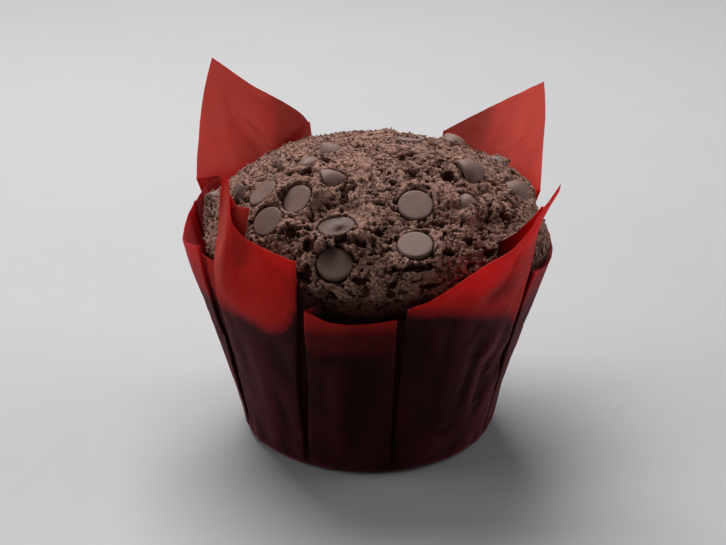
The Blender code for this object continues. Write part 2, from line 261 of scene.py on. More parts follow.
# Cavities in the crust: azimuth in degrees, place on the dome, then half its length round
# the dome, half its length down the dome and its depth in millimetres
Cavity = namedtuple("Cavity", "azimuth place round down depth")
CAVITIES = (
    Cavity(-35, 0.33, 1.3, 1.9, 2.3),
    Cavity(-37, 0.41, 1.0, 1.2, 1.8),
    Cavity(-76, 0.80, 3.6, 0.8, 1.3),
    Cavity(-78, 0.33, 0.9, 0.9, 1.2),
    Cavity(-54, 0.35, 0.8, 0.8, 1.0),
    Cavity(-67, 0.54, 2.0, 0.6, 1.1),
    Cavity(-137, 0.31, 2.2, 1.4, 1.8),
    Cavity(-143, 0.20, 1.6, 1.2, 1.3),
    Cavity(-158, 0.46, 1.3, 0.9, 1.2),
    Cavity(-157, 0.60, 1.5, 1.8, 2.0),
    Cavity(-111, 0.71, 1.2, 1.0, 1.6),
    Cavity(-94, 0.66, 1.2, 0.7, 1.5),
    Cavity(-88, 0.58, 2.2, 1.0, 1.4),
    Cavity(-100, 0.66, 2.0, 0.8, 1.6),
    Cavity(-85, 0.41, 1.6, 0.7, 1.1),
    Cavity(-93, 0.87, 1.4, 0.7, 1.3),
    Cavity(-31, 0.65, 1.2, 1.6, 1.6),
    Cavity(-21, 0.62, 0.6, 2.0, 1.6),
    Cavity(-64, 0.73, 1.3, 0.8, 1.2),
    Cavity(-102, 0.98, 2.0, 0.8, 1.2),
    Cavity(-120, 0.67, 1.4, 1.0, 1.2),
    Cavity(-72, 0.93, 1.6, 0.7, 1.2),
    Cavity(-84, 0.97, 1.2, 0.6, 1.0),
    Cavity(-113, 0.89, 1.0, 0.8, 1.2),
    Cavity(-60, 0.92, 1.4, 0.6, 1.0),
    Cavity(20, 0.33, 1.8, 1.1, 1.3),
    Cavity(35, 0.62, 2.0, 1.2, 1.6),
    Cavity(74, 0.46, 1.4, 1.8, 1.7),
    Cavity(98, 0.72, 2.2, 1.1, 1.5),
    Cavity(132, 0.50, 1.6, 1.4, 1.8),
    Cavity(160, 0.92, 1.8, 1.0, 1.3),
    Cavity(52, 0.90, 1.6, 1.2, 1.5),
)
GRAIN_FADE = (0.0335, 0.0385)  # heights between which the crust's relief fades in

# Chips
CHIP_RADIUS = 0.00365
CHIP_HEIGHT = 0.0050
# A chip's outline from its foot to its peak: parts of its radius and of its height
CHIP_OUTLINE = (
    (0.86, 0.00), (0.93, 0.006), (0.985, 0.045), (1.00, 0.12),
    (0.93, 0.36), (0.66, 0.66), (0.28, 0.90), (0.0, 1.0),
)
CHIP_MIDDLE = 0.38  # height of a chip's middle, as a part of its height
BARE_CHIPS = (1, 2, 3, 4, 5, 7, 8, 9, 10, 11, 21, 23, 25, 26)  # chips whose whole face lies open
CRUMBED_CHIPS = (15, 16, 17, 20, 22, 24, 27)  # chips with cake baked onto them
# How far in millimetres patches of the crust rise over a chip
BURIED_CHIPS = {5: 0.2, 12: 0.2, 13: 0.2, 14: 0.5, 16: 0.4, 18: 1.1, 20: 0.4, 22: 0.6, 24: 0.7, 27: 0.4}
# Places on the dome where a chip's flank is pressed in: azimuth and place, then half width
# and depth in millimetres
DENTS = {
    6: ((-100.0, 0.610), 1.3, 1.3),
    7: ((-112.0, 0.33), 1.5, 0.35),
    9: ((-27.0, 0.36), 1.4, 0.35),
}
# How much darker than the others, from 0 to 1: painted shade on chips that lie less in the light
SHADED_CHIPS = {2: 0.3, 3: 0.6, 4: 0.35, 6: 1.0, 8: 0.4, 15: 0.5, 17: 0.5}

# Crumbs
CRUMB_SEED = 11
CRUMB_SHAPES = 6
CRUMB_DETAIL = 1
CRUMBS_ON_CHIP = 70  # at the most, on each chip with cake baked onto it


# ---- Small tools ----


def ease(value):
    """0 below 0, 1 above 1, and a smooth step between."""
    value = np.clip(value, 0.0, 1.0)
    return value * value * (3.0 - 2.0 * value)


def mix(start, end, part):
    """The value that lies a part of the way from start to end."""
    return start + (end - start) * part


def degrees_off(azimuths, azimuth):
    """Degrees from one azimuth to each of the others, from -180 to 180."""
    return (azimuths - azimuth + 180.0) % 360.0 - 180.0


def polar(radius, azimuth, height):
    """Points at a radius, an azimuth in radians and a height."""
    return np.stack([radius * np.cos(azimuth), radius * np.sin(azimuth), height + 0.0 * radius], -1)


def deselect():
    for item in bpy.context.selected_objects:
        item.select_set(False)


def activate(item):
    deselect()
    item.select_set(True)
    bpy.context.view_layer.objects.active = item


def added(name):
    """The object that an operator has just added, under its own name."""
    item = bpy.context.active_object
    item.name = name
    item.data.name = name
    return item


@contextmanager
def editing(item, kind="VERT"):
    """Edit mode with everything deselected."""
    activate(item)
    bpy.ops.object.mode_set(mode="EDIT")
    bpy.ops.mesh.select_mode(type=kind)
    bpy.ops.mesh.select_all(action="DESELECT")
    yield
    bpy.ops.object.mode_set(mode="OBJECT")


def extrude_ring(rise, grow, height):
    """Extrude the selected ring of edges upwards and resize it round the axis."""
    bpy.ops.mesh.extrude_edges_move(TRANSFORM_OT_translate={"value": (0.0, 0.0, rise)})
    bpy.ops.transform.resize(value=(grow, grow, 1.0), center_override=(0.0, 0.0, height))


def close_ring():
    """Close the selected ring with a face, and turn all faces outwards."""
    bpy.ops.mesh.edge_face_add()
    bpy.ops.mesh.select_all(action="SELECT")
    bpy.ops.mesh.normals_make_consistent(inside=False)


def finish_with(item, kind, **settings):
    """Add a modifier and apply it."""
    activate(item)
    modifier = item.modifiers.new(kind.title(), kind)
    for key, value in settings.items():
        setattr(modifier, key, value)
    bpy.ops.object.modifier_apply(modifier=modifier.name)


def points_of(mesh, source="vertices", field="co"):
    """The places of a mesh's points, or another three numbers for each, as rows."""
    found = np.empty(len(mesh.vertices) * 3)
    getattr(mesh, source).foreach_get(field, found)
    return found.reshape(-1, 3)


def normals_of(mesh):
    return points_of(mesh, "vertex_normals", "vector")


def move_points(mesh, points):
    mesh.vertices.foreach_set("co", np.asarray(points, float).ravel())
    mesh.update()


def store(mesh, name, values):
    """Keep a number for each vertex, for materials to read."""
    attribute = mesh.attributes.get(name) or mesh.attributes.new(name, "FLOAT", "POINT")
    attribute.data.foreach_set("value", np.asarray(values, np.float32))


def kept(mesh, name):
    """The numbers that store() kept under a name."""
    found = np.empty(len(mesh.vertices), np.float32)
    mesh.attributes[name].data.foreach_get("value", found)
    return found


def triangles(mesh):
    return sum(len(face.vertices) - 2 for face in mesh.polygons)


def sampled(points, scale, shift=0.0, octaves=1):
    """Noise from about -1 to 1 at points, scale metres from one swell to the next."""
    moved = (points / scale + shift).reshape(-1, 3)
    if octaves == 1:
        found = [noise.noise(Vector(p)) for p in moved]
    else:
        found = [noise.fractal(Vector(p), 1.0, 2.0, octaves) for p in moved]
    return np.array(found).reshape(points.shape[:-1])


def cells(points, scale, shift=0.0):
    """Distance from each point to the nearest of a scatter of cell middles, in cells."""
    return np.array([noise.voronoi(Vector(p))[0][0] for p in points / scale + shift])


def placed(piece, slot, *nodes):
    """Say what a piece rides on and which nodes it stands for; its slot is not used."""
    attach(piece, BODY)
    if nodes:
        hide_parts(*nodes)


# ---- Wrap ----


def wall_path(slants, lean, top, curl):
    """Radii and heights of the sheet, slant distances up from the floor's corner."""
    steps = 328
    step = SHEET_REACH / steps
    along = (np.arange(steps) + 0.5) * step
    wall = mix(FOOT_LEAN, RIM_LEAN, np.minimum(along / RIM_SLANT, 1.0))
    angle = mix(wall, lean, ease((along - RIM_SLANT) / BEND_LENGTH + 0.5))
    angle = np.radians(angle + curl * ease((along - top) / (9 * MM) + 1.0))
    marks = np.arange(steps + 1) * step
    radii = BASE_RADIUS + np.concatenate(([0.0], np.cumsum(np.sin(angle)) * step))
    heights = np.concatenate(([0.0], np.cumsum(np.cos(angle)) * step))
    return np.interp(slants, marks, radii), np.interp(slants, marks, heights)


def turned(length, slants):
    """Degrees round the wall that a length spans at each slant."""
    return np.degrees(length / (BASE_RADIUS + slants * sin(radians(RIM_LEAN))))


def closing(slants):
    """0 where a pleat's paper lies open at the floor, and 1 where it is folded over."""
    return ease((slants - FOLD_START) / FOLD_LENGTH)


def pleat_edge(index, side, slants):
    """Azimuths of a groove's edge, side -1 before the groove and 1 after it."""
    pleat = PLEATS[index % len(PLEATS)]
    turns = 360.0 * (index // len(PLEATS))
    part = np.minimum(slants / RIM_SLANT, 1.0)
    half = pleat.width / 2 * mix(FOOT_WIDTH, 1.0, part)
    half = half + pleat.opening / 2 * np.sin(pi * np.clip((slants - 4 * MM) / (34 * MM), 0.0, 1.0))
    return mix(pleat.foot, pleat.rim, part) + side * half + turns


def edge_at(index, azimuth):
    """Slant height of the sheet's edge and the lean above the rim, on one panel."""
    edge = np.array(EDGES[index % len(EDGES)])
    azimuth = azimuth - 360.0 * (index // len(PLEATS))
    return np.interp(azimuth, edge[:, 0], edge[:, 1]) * MM, np.interp(azimuth, edge[:, 0], edge[:, 2])


def row_slants(top):
    wall = np.linspace(BASE_ROUNDING, UPPER_SLANT, WALL_ROWS, endpoint=False)
    return np.concatenate((wall, np.linspace(UPPER_SLANT, top, UPPER_ROWS)))


def panel_parts(index):
    """Parts of the way across a panel for its columns, its edge's own corners among them."""
    edge = np.array(EDGES[index])
    marks = [edge[0, 0]]
    for start, end in zip(edge[:, 0], edge[1:, 0]):
        count = max(1, round((end - start) / COLUMN_STEP))
        marks.extend(np.linspace(start, end, count + 1)[1:])
    return (np.array(marks) - edge[0, 0]) / (edge[-1, 0] - edge[0, 0])


def soften(values, keep):
    """Round the corners of an edge, apart from those at the given places."""
    rounded = values.copy()
    for _ in range(3):
        rounded[1:-1] = (rounded[:-2] + 2 * rounded[1:-1] + rounded[2:]) / 4
        rounded[keep] = values[keep]
    return rounded


# A column of the sheet's grid: azimuths, depths behind the wall and slants of its points, its
# top slant, its lean above the rim and its tip's curl, how much painted shade its outer and its
# inner face take where they lie covered, and 1 on a pleat's paper or 0 on a panel
Column = namedtuple("Column", "azimuths depths slants top lean curl shut veiled flap")


def panel_columns(index):
    parts = panel_parts(index)
    edge = np.array(EDGES[index])
    marks = mix(edge[0, 0], edge[-1, 0], parts)
    tops, leans = edge_at(index, marks)
    keep = [0, int(np.argmax(tops)), -1] if index in POINTED else [0, -1]
    tops = soften(tops, keep)
    leans = soften(leans, [0, -1])
    tops = tops + 0.22 * MM * np.array([noise.noise(Vector((a / 4.0, index, 0.0))) for a in marks])
    columns = []
    for part, top, lean in zip(parts, tops, leans):
        slants = row_slants(top)
        inset = turned(mix(FOOT_SPREAD, FOLD_RADIUS, closing(slants)), slants)
        first = pleat_edge(index, 1, slants) + inset
        last = pleat_edge(index + 1, -1, slants) - inset
        tipped = np.clip((top - 60 * MM) / (8 * MM), 0.0, 1.0)
        azimuths = mix(first, last, part)
        curl = CURLS[index] * tipped
        columns.append(Column(azimuths, 0.0 * slants, slants, top, lean, curl, 0.0, 0.0, 0.0))
    return columns


def pleat_stations():
    """Stations from a panel's fold to its groove: the kind of place, and how far along it."""
    arc = [radians(a) for a in (60, 20, -20, -60)]
    across = (0.0, 0.2, 0.4, 0.6, 0.8, 1.0)
    return (
        [("outer", a) for a in arc]
        + [("flap", f) for f in across]
        + [("inner", a) for a in arc]
        + [("floor", f) for f in across]
    )


def folded(kind, value, width):
    """Reach behind the panel, depth behind it, and length of paper so far."""
    radius = FOLD_RADIUS
    if kind == "outer":
        return radius * (1 - cos(value)), radius * (1 - sin(value)), 0.0 * width
    if kind == "flap":
        return radius + (width - 2 * radius) * value, 2 * radius, width * value
    if kind == "inner":
        return width - radius * (1 - cos(value)), 3 * radius - radius * sin(value), width
    return (width - radius) * (1 - value), 4 * radius, width * (1 + value)


def passing_top(index, tops, share):
    """Slant height of the edge on a pleat's paper, which dips a little behind its panels."""
    start, end = PLEATS[index].passing
    passed = ease((share - start) / (end - start)) if start > 0.0 else np.clip(share / end, 0.0, 1.0)
    return mix(tops[0], tops[1], passed) - PLEATS[index].dip * MM * ease(6.0 * min(share, 1.0 - share))


def half_pleat_columns(index, side, ends):
    """Columns from a panel's fold to the groove, on side -1 before the groove or 1 after it."""
    stations = pleat_stations()
    pleat = PLEATS[index]
    tops = (ends[0][1] * MM, ends[1][1] * MM)
    shade = pleat.shade[(side + 1) // 2]
    panel = index if side == 1 else index - 1 + (len(PLEATS) if index == 0 else 0)
    turn = -360.0 if (side == -1 and index == 0) else 0.0
    width = pleat.flap * max(tops[0], tops[1])
    columns = []
    for place, (kind, value) in enumerate(stations):
        _, _, paper = folded(kind, value, width)
        share = 0.5 + side * (0.5 - paper / (4 * width + 2 * MM))
        top = passing_top(index, tops, share)
        slants = row_slants(top)
        shut = closing(slants)
        reach, depth, _ = folded(kind, value, np.maximum(pleat.flap * slants, 2 * FOLD_RADIUS))
        spread = FOOT_SPREAD * (1 - (place + 1) / (len(stations) + 1))
        azimuths = pleat_edge(index, side, slants) + side * turned(mix(spread, reach, shut), slants)
        _, lean = edge_at(panel, azimuths[-1] - turn)
        if kind == "floor":
            lean = mix(lean, (ends[0][2] + ends[1][2]) / 2, 0.5 * value)
        # Painted shade on paper shut into the pleat: full on the outer face, and on the inner face only where
        # the pleat's shade is above 1
        covered = {"flap": 0.65 * value, "inner": 1.0, "floor": 1.0}.get(kind, 0.0) * shade
        veiled = covered if shade > 1.0 else 0.2 * covered
        loose = {"flap": value, "inner": 1.0, "floor": 1.0 - value}.get(kind, 0.0)
        swing = pleat.swing[(side + 1) // 2] * MM * loose
        depth = depth + swing * ease((slants - 43 * MM) / (14 * MM))
        columns.append(Column(azimuths, depth * shut, slants, top, lean, 0.0, covered, veiled, 1.0))
    return columns


def groove_column(index, ends):
    """The column down the middle of a pleat's groove."""
    top = passing_top(index, (ends[0][1] * MM, ends[1][1] * MM), 0.5)
    slants = row_slants(top)
    azimuths = (pleat_edge(index, -1, slants) + pleat_edge(index, 1, slants)) / 2
    depth = (4 * FOLD_RADIUS + GROOVE_SAG) * closing(slants)
    lean = (ends[0][2] + ends[1][2]) / 2
    return Column(azimuths, depth, slants, top, lean, 0.0, sum(PLEATS[index].shade) / 2, 0.2, 1.0)


def pleat_columns(index):
    """Columns over the paper of the pleat before a panel, from the last panel to this one."""
    ends = (EDGES[index - 1][-1], EDGES[index][0])
    first = half_pleat_columns(index, -1, ends)
    last = half_pleat_columns(index, 1, ends)
    return [*first, groove_column(index, ends), *last[::-1]]


def wall_relief(azimuths, slants):
    """How far the wall stands out from its path, and how crumpled it is, from 0 to 1."""
    reach = BASE_RADIUS + slants * sin(radians(RIM_LEAN))
    flat = polar(reach, np.radians(azimuths), slants)
    rise = ease(slants / (12 * MM))
    flutes = sampled(flat * (1.0, 1.0, 0.12), 4.5 * MM) * 0.22 * MM
    crinkles = sampled(flat * (1.0, 1.0, 0.6), 5.5 * MM, 7.0) * 0.14 * MM
    folds = np.abs(sampled(flat * (1.0, 1.0, 0.45), 9 * MM, 13.0, 2))
    folds = -np.exp(-folds / 0.07) * ease(sampled(flat, 11 * MM, 19.0) * 2.2 + 0.6) * 0.26 * MM
    fine = sampled(flat, 1.9 * MM, 3.0) * 0.03 * MM
    crimps = sampled(flat * (1.0, 1.0, 0.3), 3.6 * MM, 47.0, 2) * 0.65 * MM * np.exp(-slants / (8 * MM))
    relief = (flutes + crinkles + folds + fine) * rise + crimps
    crumpled = np.zeros(azimuths.shape)
    for crease in CREASES:
        across = np.radians(degrees_off(azimuths, crease.azimuth)) * reach / MM
        up = slants / MM - crease.slant
        lean = radians(crease.turn)
        along = up * cos(lean) + across * sin(lean)
        off = across * cos(lean) - up * sin(lean)
        off = off + 0.4 * np.sin(along * 0.5 + crease.azimuth)
        part = np.abs(along) / crease.length
        shape = np.exp(-np.sqrt(off**2 + 0.03) / crease.width) * ease(1.15 - part)
        relief = relief - crease.depth * MM * shape
        crumpled += abs(crease.depth) * np.exp(-((off / 4.5) ** 2)) * ease(1.3 - part)
    return relief, ease((crumpled - 0.35) / 0.9)


def contact(azimuths, slants):
    """Where the wall lies against the muffin, from 0 to 1, and the damp fringe above that."""
    around = degrees_off(azimuths, 0.0)
    edge = np.array(CONTACT)
    border = np.interp(around, edge[:, 0], edge[:, 1]) * MM
    # The part of the muffin's shade left above the border is painted shade
    left = np.interp(around, edge[:, 0], edge[:, 2])
    flat = polar(WALL_RADIUS, np.radians(azimuths), slants)
    border = border + sampled(flat, 5 * MM, 2.0) * 0.6 * MM
    left = left * ease((border + 11 * MM - slants) / (6 * MM))
    damp = ease((border + 3.2 * MM - slants) / (2.6 * MM))
    return mix(left, 1.0, ease((border - slants) / (1.8 * MM) + 0.5)), damp


def layered(azimuths, slants, layers):
    """How strongly any of the layers covers each place of the sheet, from 0 to 1."""
    clear = np.ones(azimuths.shape)
    flat = polar(WALL_RADIUS, np.radians(azimuths), slants)
    ragged = sampled(flat * (1.0, 1.0, 0.25), 4 * MM, 53.0) * 0.3
    for layer in layers:
        away = degrees_off(azimuths, layer.azimuth) / layer.round
        reach = np.sqrt(away**2 + ((slants / MM - layer.slant) / layer.up) ** 2) + ragged
        clear = clear * (1.0 - layer.dim * ease((1.35 - reach) / 0.8))
    return 1.0 - clear


def build_wrap(settings):
    """One sheet: a grid whose columns run round the folds, closed to a cup, with a thickness."""
    columns = []
    for index in range(len(PLEATS)):
        columns += pleat_columns(index) + panel_columns(index)
    columns.append(columns[0]._replace(azimuths=columns[0].azimuths + 360.0))
    rows = len(FOOT_ROWS) + WALL_ROWS + UPPER_ROWS
    deselect()
    bpy.ops.mesh.primitive_grid_add(x_subdivisions=len(columns) - 1, y_subdivisions=rows - 1, size=1.0)
    wrap = added("tulip_wrap")
    azimuths = np.array([c.azimuths for c in columns])
    slants = np.array([c.slants for c in columns])
    depths = np.array([c.depths for c in columns])
    paths = [wall_path(c.slants, c.lean, c.top, c.curl) for c in columns]
    radii = np.array([p[0] for p in paths])
    heights = np.array([p[1] for p in paths]) + SHEET
    relief, crumpled = wall_relief(azimuths, slants)
    radii = radii - depths + relief * settings.crinkle
    wall = polar(radii, np.radians(azimuths), heights)
    turn = np.radians(azimuths[:, :1])
    corner = polar(BASE_RADIUS + 0.0 * turn, turn, SHEET)
    inner = polar(BASE_RADIUS - BASE_ROUNDING + 0.0 * turn, turn, SHEET)
    part = np.array(FOOT_ROWS)[None, :, None]
    rounding = mix(mix(inner, corner, part), mix(corner, wall[:, :1], part), part)
    points = np.concatenate((rounding, wall), axis=1)
    move_points(wrap.data, points.transpose(1, 0, 2).reshape(-1, 3))
    touching, damp = contact(azimuths, slants)
    # Painted shade of the second layers
    layer_shade = layered(azimuths, slants, SHADED_LAYERS)
    flap = np.array([[c.flap] for c in columns])
    # The contact mask darkens the paper for grease and painted shade alike
    store_on_sheet(wrap, "contact", 1.0, touching)
    store_on_sheet(wrap, "damp", 1.0, damp)
    # Painted sheen on the outer face, where it catches the light
    store_on_sheet(wrap, "worn", 0.0, layered(azimuths, slants, SHEEN_PATCHES))
    store_on_sheet(wrap, "flap", flap, np.repeat(flap, slants.shape[1], axis=1))
    # Painted shade where paper lies shut in a pleat or under a second layer, weaker high up
    for name in ("shut", "veiled"):
        covered = np.array([getattr(c, name) for c in columns])[:, None] * closing(slants)
        covered = np.minimum(covered * mix(0.6, 1.0, ease((48 * MM - slants) / (6 * MM))), 1.0)
        store_on_sheet(wrap, name, 0.0, 1.0 - (1.0 - covered) * (1.0 - layer_shade))
    # Painted light on the wall's crests and painted shade in its troughs, for paper on the cake
    store_on_sheet(wrap, "relief_shading", 0.5, ease(relief / (0.5 * MM) + 0.5))
    store_on_sheet(wrap, "crumpled", crumpled[:, :1], crumpled)
    with editing(wrap):
        bpy.ops.mesh.select_all(action="SELECT")
        bpy.ops.mesh.remove_doubles(threshold=1e-6)
        bpy.ops.mesh.select_all(action="DESELECT")
    close_floor(wrap)
    finish_with(wrap, "SOLIDIFY", thickness=SHEET, offset=0.0)
    part_faces(wrap)
    activate(wrap)
    bpy.ops.object.shade_smooth_by_angle(angle=radians(60))
    wrap.data.materials.append(parchment_material(settings))
    placed(wrap, "paper", "paper_wrap")


def store_on_sheet(wrap, name, foot, wall):
    """Keep a number for each point of the grid: one for the floor's rounding, many for the wall."""
    foot = np.broadcast_to(foot, (len(wall), len(FOOT_ROWS)))
    store(wrap.data, name, np.concatenate((foot, wall), axis=1).T.ravel())


def part_faces(wrap):
    """Give each face of the sheet its own paleness, partly painted sheen, and its own covered places, which
    take painted shade.
    """
    mesh = wrap.data
    across = np.hypot(*points_of(mesh)[:, :2].T).reshape(2, -1)
    inside = np.repeat(np.arange(2) == int(across[0].mean() > across[1].mean()), across.shape[1])
    risen = ease((points_of(mesh)[:, 2] - PALE_SHEEN_HEIGHT) / (5 * MM))
    pale = mix(1.0, FLAP_PALE_SHEEN, kept(mesh, "flap")) * risen
    # Paleness: on the inner face partly its own tone and partly painted sheen, on the outer face painted
    # sheen
    store(mesh, "pale", np.where(inside, pale, kept(mesh, "worn")))
    # Painted shade: each face takes its own share
    store(mesh, "covered", np.where(inside, kept(mesh, "veiled"), kept(mesh, "shut")))


def close_floor(wrap):
    """Fill the cup's round floor with shrinking rings of its inner edge."""
    low = points_of(wrap.data)[:, 2] < SHEET + 1e-6
    near = np.hypot(*points_of(wrap.data)[:, :2].T) < BASE_RADIUS - BASE_ROUNDING + 1e-6
    wrap.data.vertices.foreach_set("select", low & near)
    bpy.ops.object.mode_set(mode="EDIT")
    for shrink in (0.86, 0.6, 0.3):
        extrude_ring(0.0, shrink, SHEET)
    close_ring()
    bpy.ops.object.mode_set(mode="OBJECT")


# ---- Crust ----


def ring_radius(azimuths):
    """Radius of the muffin's widest ring."""
    uneven = CAKE_LOPSIDED * np.cos(azimuths) + CAKE_OUT_OF_ROUND * np.cos(3.0 * azimuths + 1.1)
    return CAKE_RADIUS + uneven


def dome_points(azimuths, places):
    """Points of the dome, from its top (place 0) to its widest ring (place 1)."""
    angle = places * pi / 2
    power = 2.0 / DOME_FULLNESS
    across = ring_radius(azimuths) * np.sin(angle) ** power
    away = degrees_off(np.degrees(azimuths), SLUMP_AZIMUTH)
    across = across - DOME_SLUMP * np.exp(-((away / SLUMP_WIDTH) ** 2)) * np.sin(pi * places**2)
    rise = DOME_RISE * np.maximum(np.cos(angle), 0.0) ** power
    swell = DOME_SWELLS[0] * np.sin(2.0 * azimuths + 0.6)
    swell = swell + DOME_SWELLS[1] * np.cos(3.0 * azimuths - 0.8 + 2.0 * places)
    height = SHOULDER_HEIGHT + rise + swell * np.sin(pi * places)
    return polar(across, azimuths, height) + (CAKE_OFFSET, 0.0, 0.0)


def crust_points(azimuths, shares):
    """Points down the crust, for even steps of length from its top to below its widest ring."""
    places = np.linspace(0.0, 1.0, 400)
    line = dome_points(0.0 * places, places)
    heights = np.array([h for h, _ in SHOULDER])
    parts = np.array([p for _, p in SHOULDER])
    shoulder = polar(CAKE_RADIUS * parts, 0.0 * parts, heights) + (CAKE_LOPSIDED, 0.0, 0.0)
    line = np.concatenate((line, shoulder))
    lengths = np.concatenate(([0.0], np.cumsum(np.linalg.norm(np.diff(line, axis=0), axis=1))))
    reached = shares * lengths[-1]
    dome = dome_points(azimuths, np.interp(reached, lengths[:400], places))
    height = np.interp(reached, lengths[399:], np.concatenate(([SHOULDER_HEIGHT], heights)))
    part = np.interp(reached, lengths[399:], np.concatenate(([1.0], parts)))
    side = polar(ring_radius(azimuths) * part, azimuths, height) + (CAKE_OFFSET, 0.0, 0.0)
    return np.where((reached < lengths[399])[:, None], dome, side)


def round_off(square):
    """Azimuth and distance in a disc for points of a square from -1 to 1, ring for ring."""
    a, b = square[:, 0], square[:, 1]
    ring = np.maximum(np.abs(a), np.abs(b))
    safe = np.maximum(ring, 1e-9)
    wide = np.abs(a) >= np.abs(b)
    turn = np.where(wide, b / safe * np.sign(a) * pi / 4, pi / 2 - a / safe * np.sign(b) * pi / 4)
    turn = turn + np.where(np.where(wide, a, b) < 0.0, pi, 0.0)
    return turn, ring


def add_dome(name):
    deselect()
    bpy.ops.mesh.primitive_grid_add(x_subdivisions=DOME_DIVISIONS, y_subdivisions=DOME_DIVISIONS, size=2.0)
    crust = added(name)
    azimuths, rings = round_off(points_of(crust.data))
    move_points(crust.data, crust_points(azimuths, rings))
    with editing(crust):
        bpy.ops.mesh.select_non_manifold()
        height, radius = SHOULDER[-1][0], SHOULDER[-1][1] * CAKE_RADIUS
        for down, part in SIDE_RINGS:
            extrude_ring(down - height, part * CAKE_RADIUS / radius, down)
            radius, height = part * CAKE_RADIUS, down
        close_ring()
    return crust


def crust_relief(points, settings):
    """Height over the crust's plain shape, and how hollow and how raised it is, from 0 to 1."""
    warp = np.stack([sampled(points, 2.6 * MM, shift) for shift in (31.0, 37.0, 41.0)], -1)
    bent = (points + warp * 0.55 * MM) * (1.0, 1.0, 1.5)
    patch = ease(sampled(points, 8 * MM, 4.0) * 1.4 + 0.55)
    patch = np.maximum(patch, ease((50 * MM - points[:, 2]) / (4 * MM)))
    lumps = sampled(points, 11 * MM, 1.0, 2) * 0.55 * MM
    lumps = lumps + sampled(points, 4.2 * MM, 9.0) * 0.24 * MM
    clods = (0.55 - cells(bent, 2.2 * MM, 3.0)) * 0.36 * MM * mix(0.25, 1.0, patch)
    grains = 0.5 - cells(bent, 0.92 * MM, 5.0)
    pits = ease((sampled(bent, 1.4 * MM, 11.0, 2) - 0.27) / 0.06) * mix(0.25, 1.0, patch)
    holes = ease((sampled(bent, 3.2 * MM, 17.0, 3) - 0.47) / 0.06)
    cracks = ease((0.045 - np.abs(sampled(bent, 5.0 * MM, 23.0, 2))) / 0.03)
    cracks = cracks * ease(sampled(points, 6 * MM, 29.0) * 3.0 + 0.1)
    sunk = pits * 0.70 * MM + holes * 1.20 * MM + cracks * 0.85 * MM
    relief = lumps + clods + grains * mix(0.22, 0.36, patch) * MM - sunk * settings.pore_depth
    return relief, np.clip(0.8 * pits + holes + 0.9 * cracks, 0.0, 1.0), ease(grains * 2.0 + 0.45)


def cavity_depth(points):
    """How far each point sinks into the listed cavities, uneven at their borders."""
    ragged = sampled(points, 1.3 * MM, 71.0, 2) * 0.75
    depth = np.zeros(len(points))
    for cavity in CAVITIES:
        turn = np.array([radians(cavity.azimuth)])
        place = np.array([cavity.place])
        middle = dome_points(turn, place)[0]
        sideways = np.array((-sin(turn[0]), cos(turn[0]), 0.0))
        down = dome_points(turn, place + 0.01)[0] - middle
        down /= np.linalg.norm(down)
        offset = (points - middle) / MM
        near = np.abs(offset).max(axis=1) < 8.0
        around, along = offset[near] @ sideways, offset[near] @ down
        reach = np.sqrt((around / cavity.round) ** 2 + (along / cavity.down) ** 2) + ragged[near]
        depth[near] = np.maximum(depth[near], cavity.depth * MM * ease((1.10 - reach) / 0.35))
    return depth


def bedding(points, normals, seat):
    """How far the crust has to rise or sink to lie close round a chip."""
    facing = -normals @ seat.axis
    offset = points - seat.foot
    along = offset @ seat.axis
    away = np.linalg.norm(offset - np.outer(along, seat.axis), axis=1) / (CHIP_RADIUS * seat.size)
    level = np.clip((along - 0.05 * MM) / np.maximum(facing, 0.5), -1.3 * MM, 1.8 * MM)
    level = level * ease((2.1 - away) / 0.9) * ease((facing - 0.45) / 0.25)
    away = np.linalg.norm(points - seat.middle, axis=1) / (CHIP_RADIUS * seat.size)
    lip = ease((1.75 - away) / 0.6) * 0.45 * MM * ease((0.7 - facing) / 0.25)
    return level + lip


def burying(points, seat, number):
    """How far patches of the crust rise over a chip."""
    away = np.linalg.norm(points - seat.middle, axis=1) / (CHIP_RADIUS * seat.size)
    patch = ease(sampled(points, 2.6 * MM, 80.0 + number) * 2.4 + 0.45)
    return BURIED_CHIPS.get(number, 0.0) * MM * patch * ease((1.7 - away) / 0.6)


def drawn_in(points):
    """The crust's points, with its edge moved inwards on one side."""
    reach = np.hypot(points[:, 0], points[:, 1])
    turn = np.degrees(np.arctan2(points[:, 1], points[:, 0]))
    inwards = DRAWN_IN * np.exp(-((degrees_off(turn, DRAWN_AZIMUTH) / DRAWN_WIDTH) ** 2))
    inwards = inwards * ease((59 * MM - points[:, 2]) / (9 * MM))
    inwards = inwards * mix(0.3, 1.0, ease((points[:, 2] - 43 * MM) / (6 * MM)))
    moved = points.copy()
    moved[:, :2] *= (1.0 - inwards / np.maximum(reach, MM))[:, None]
    return moved


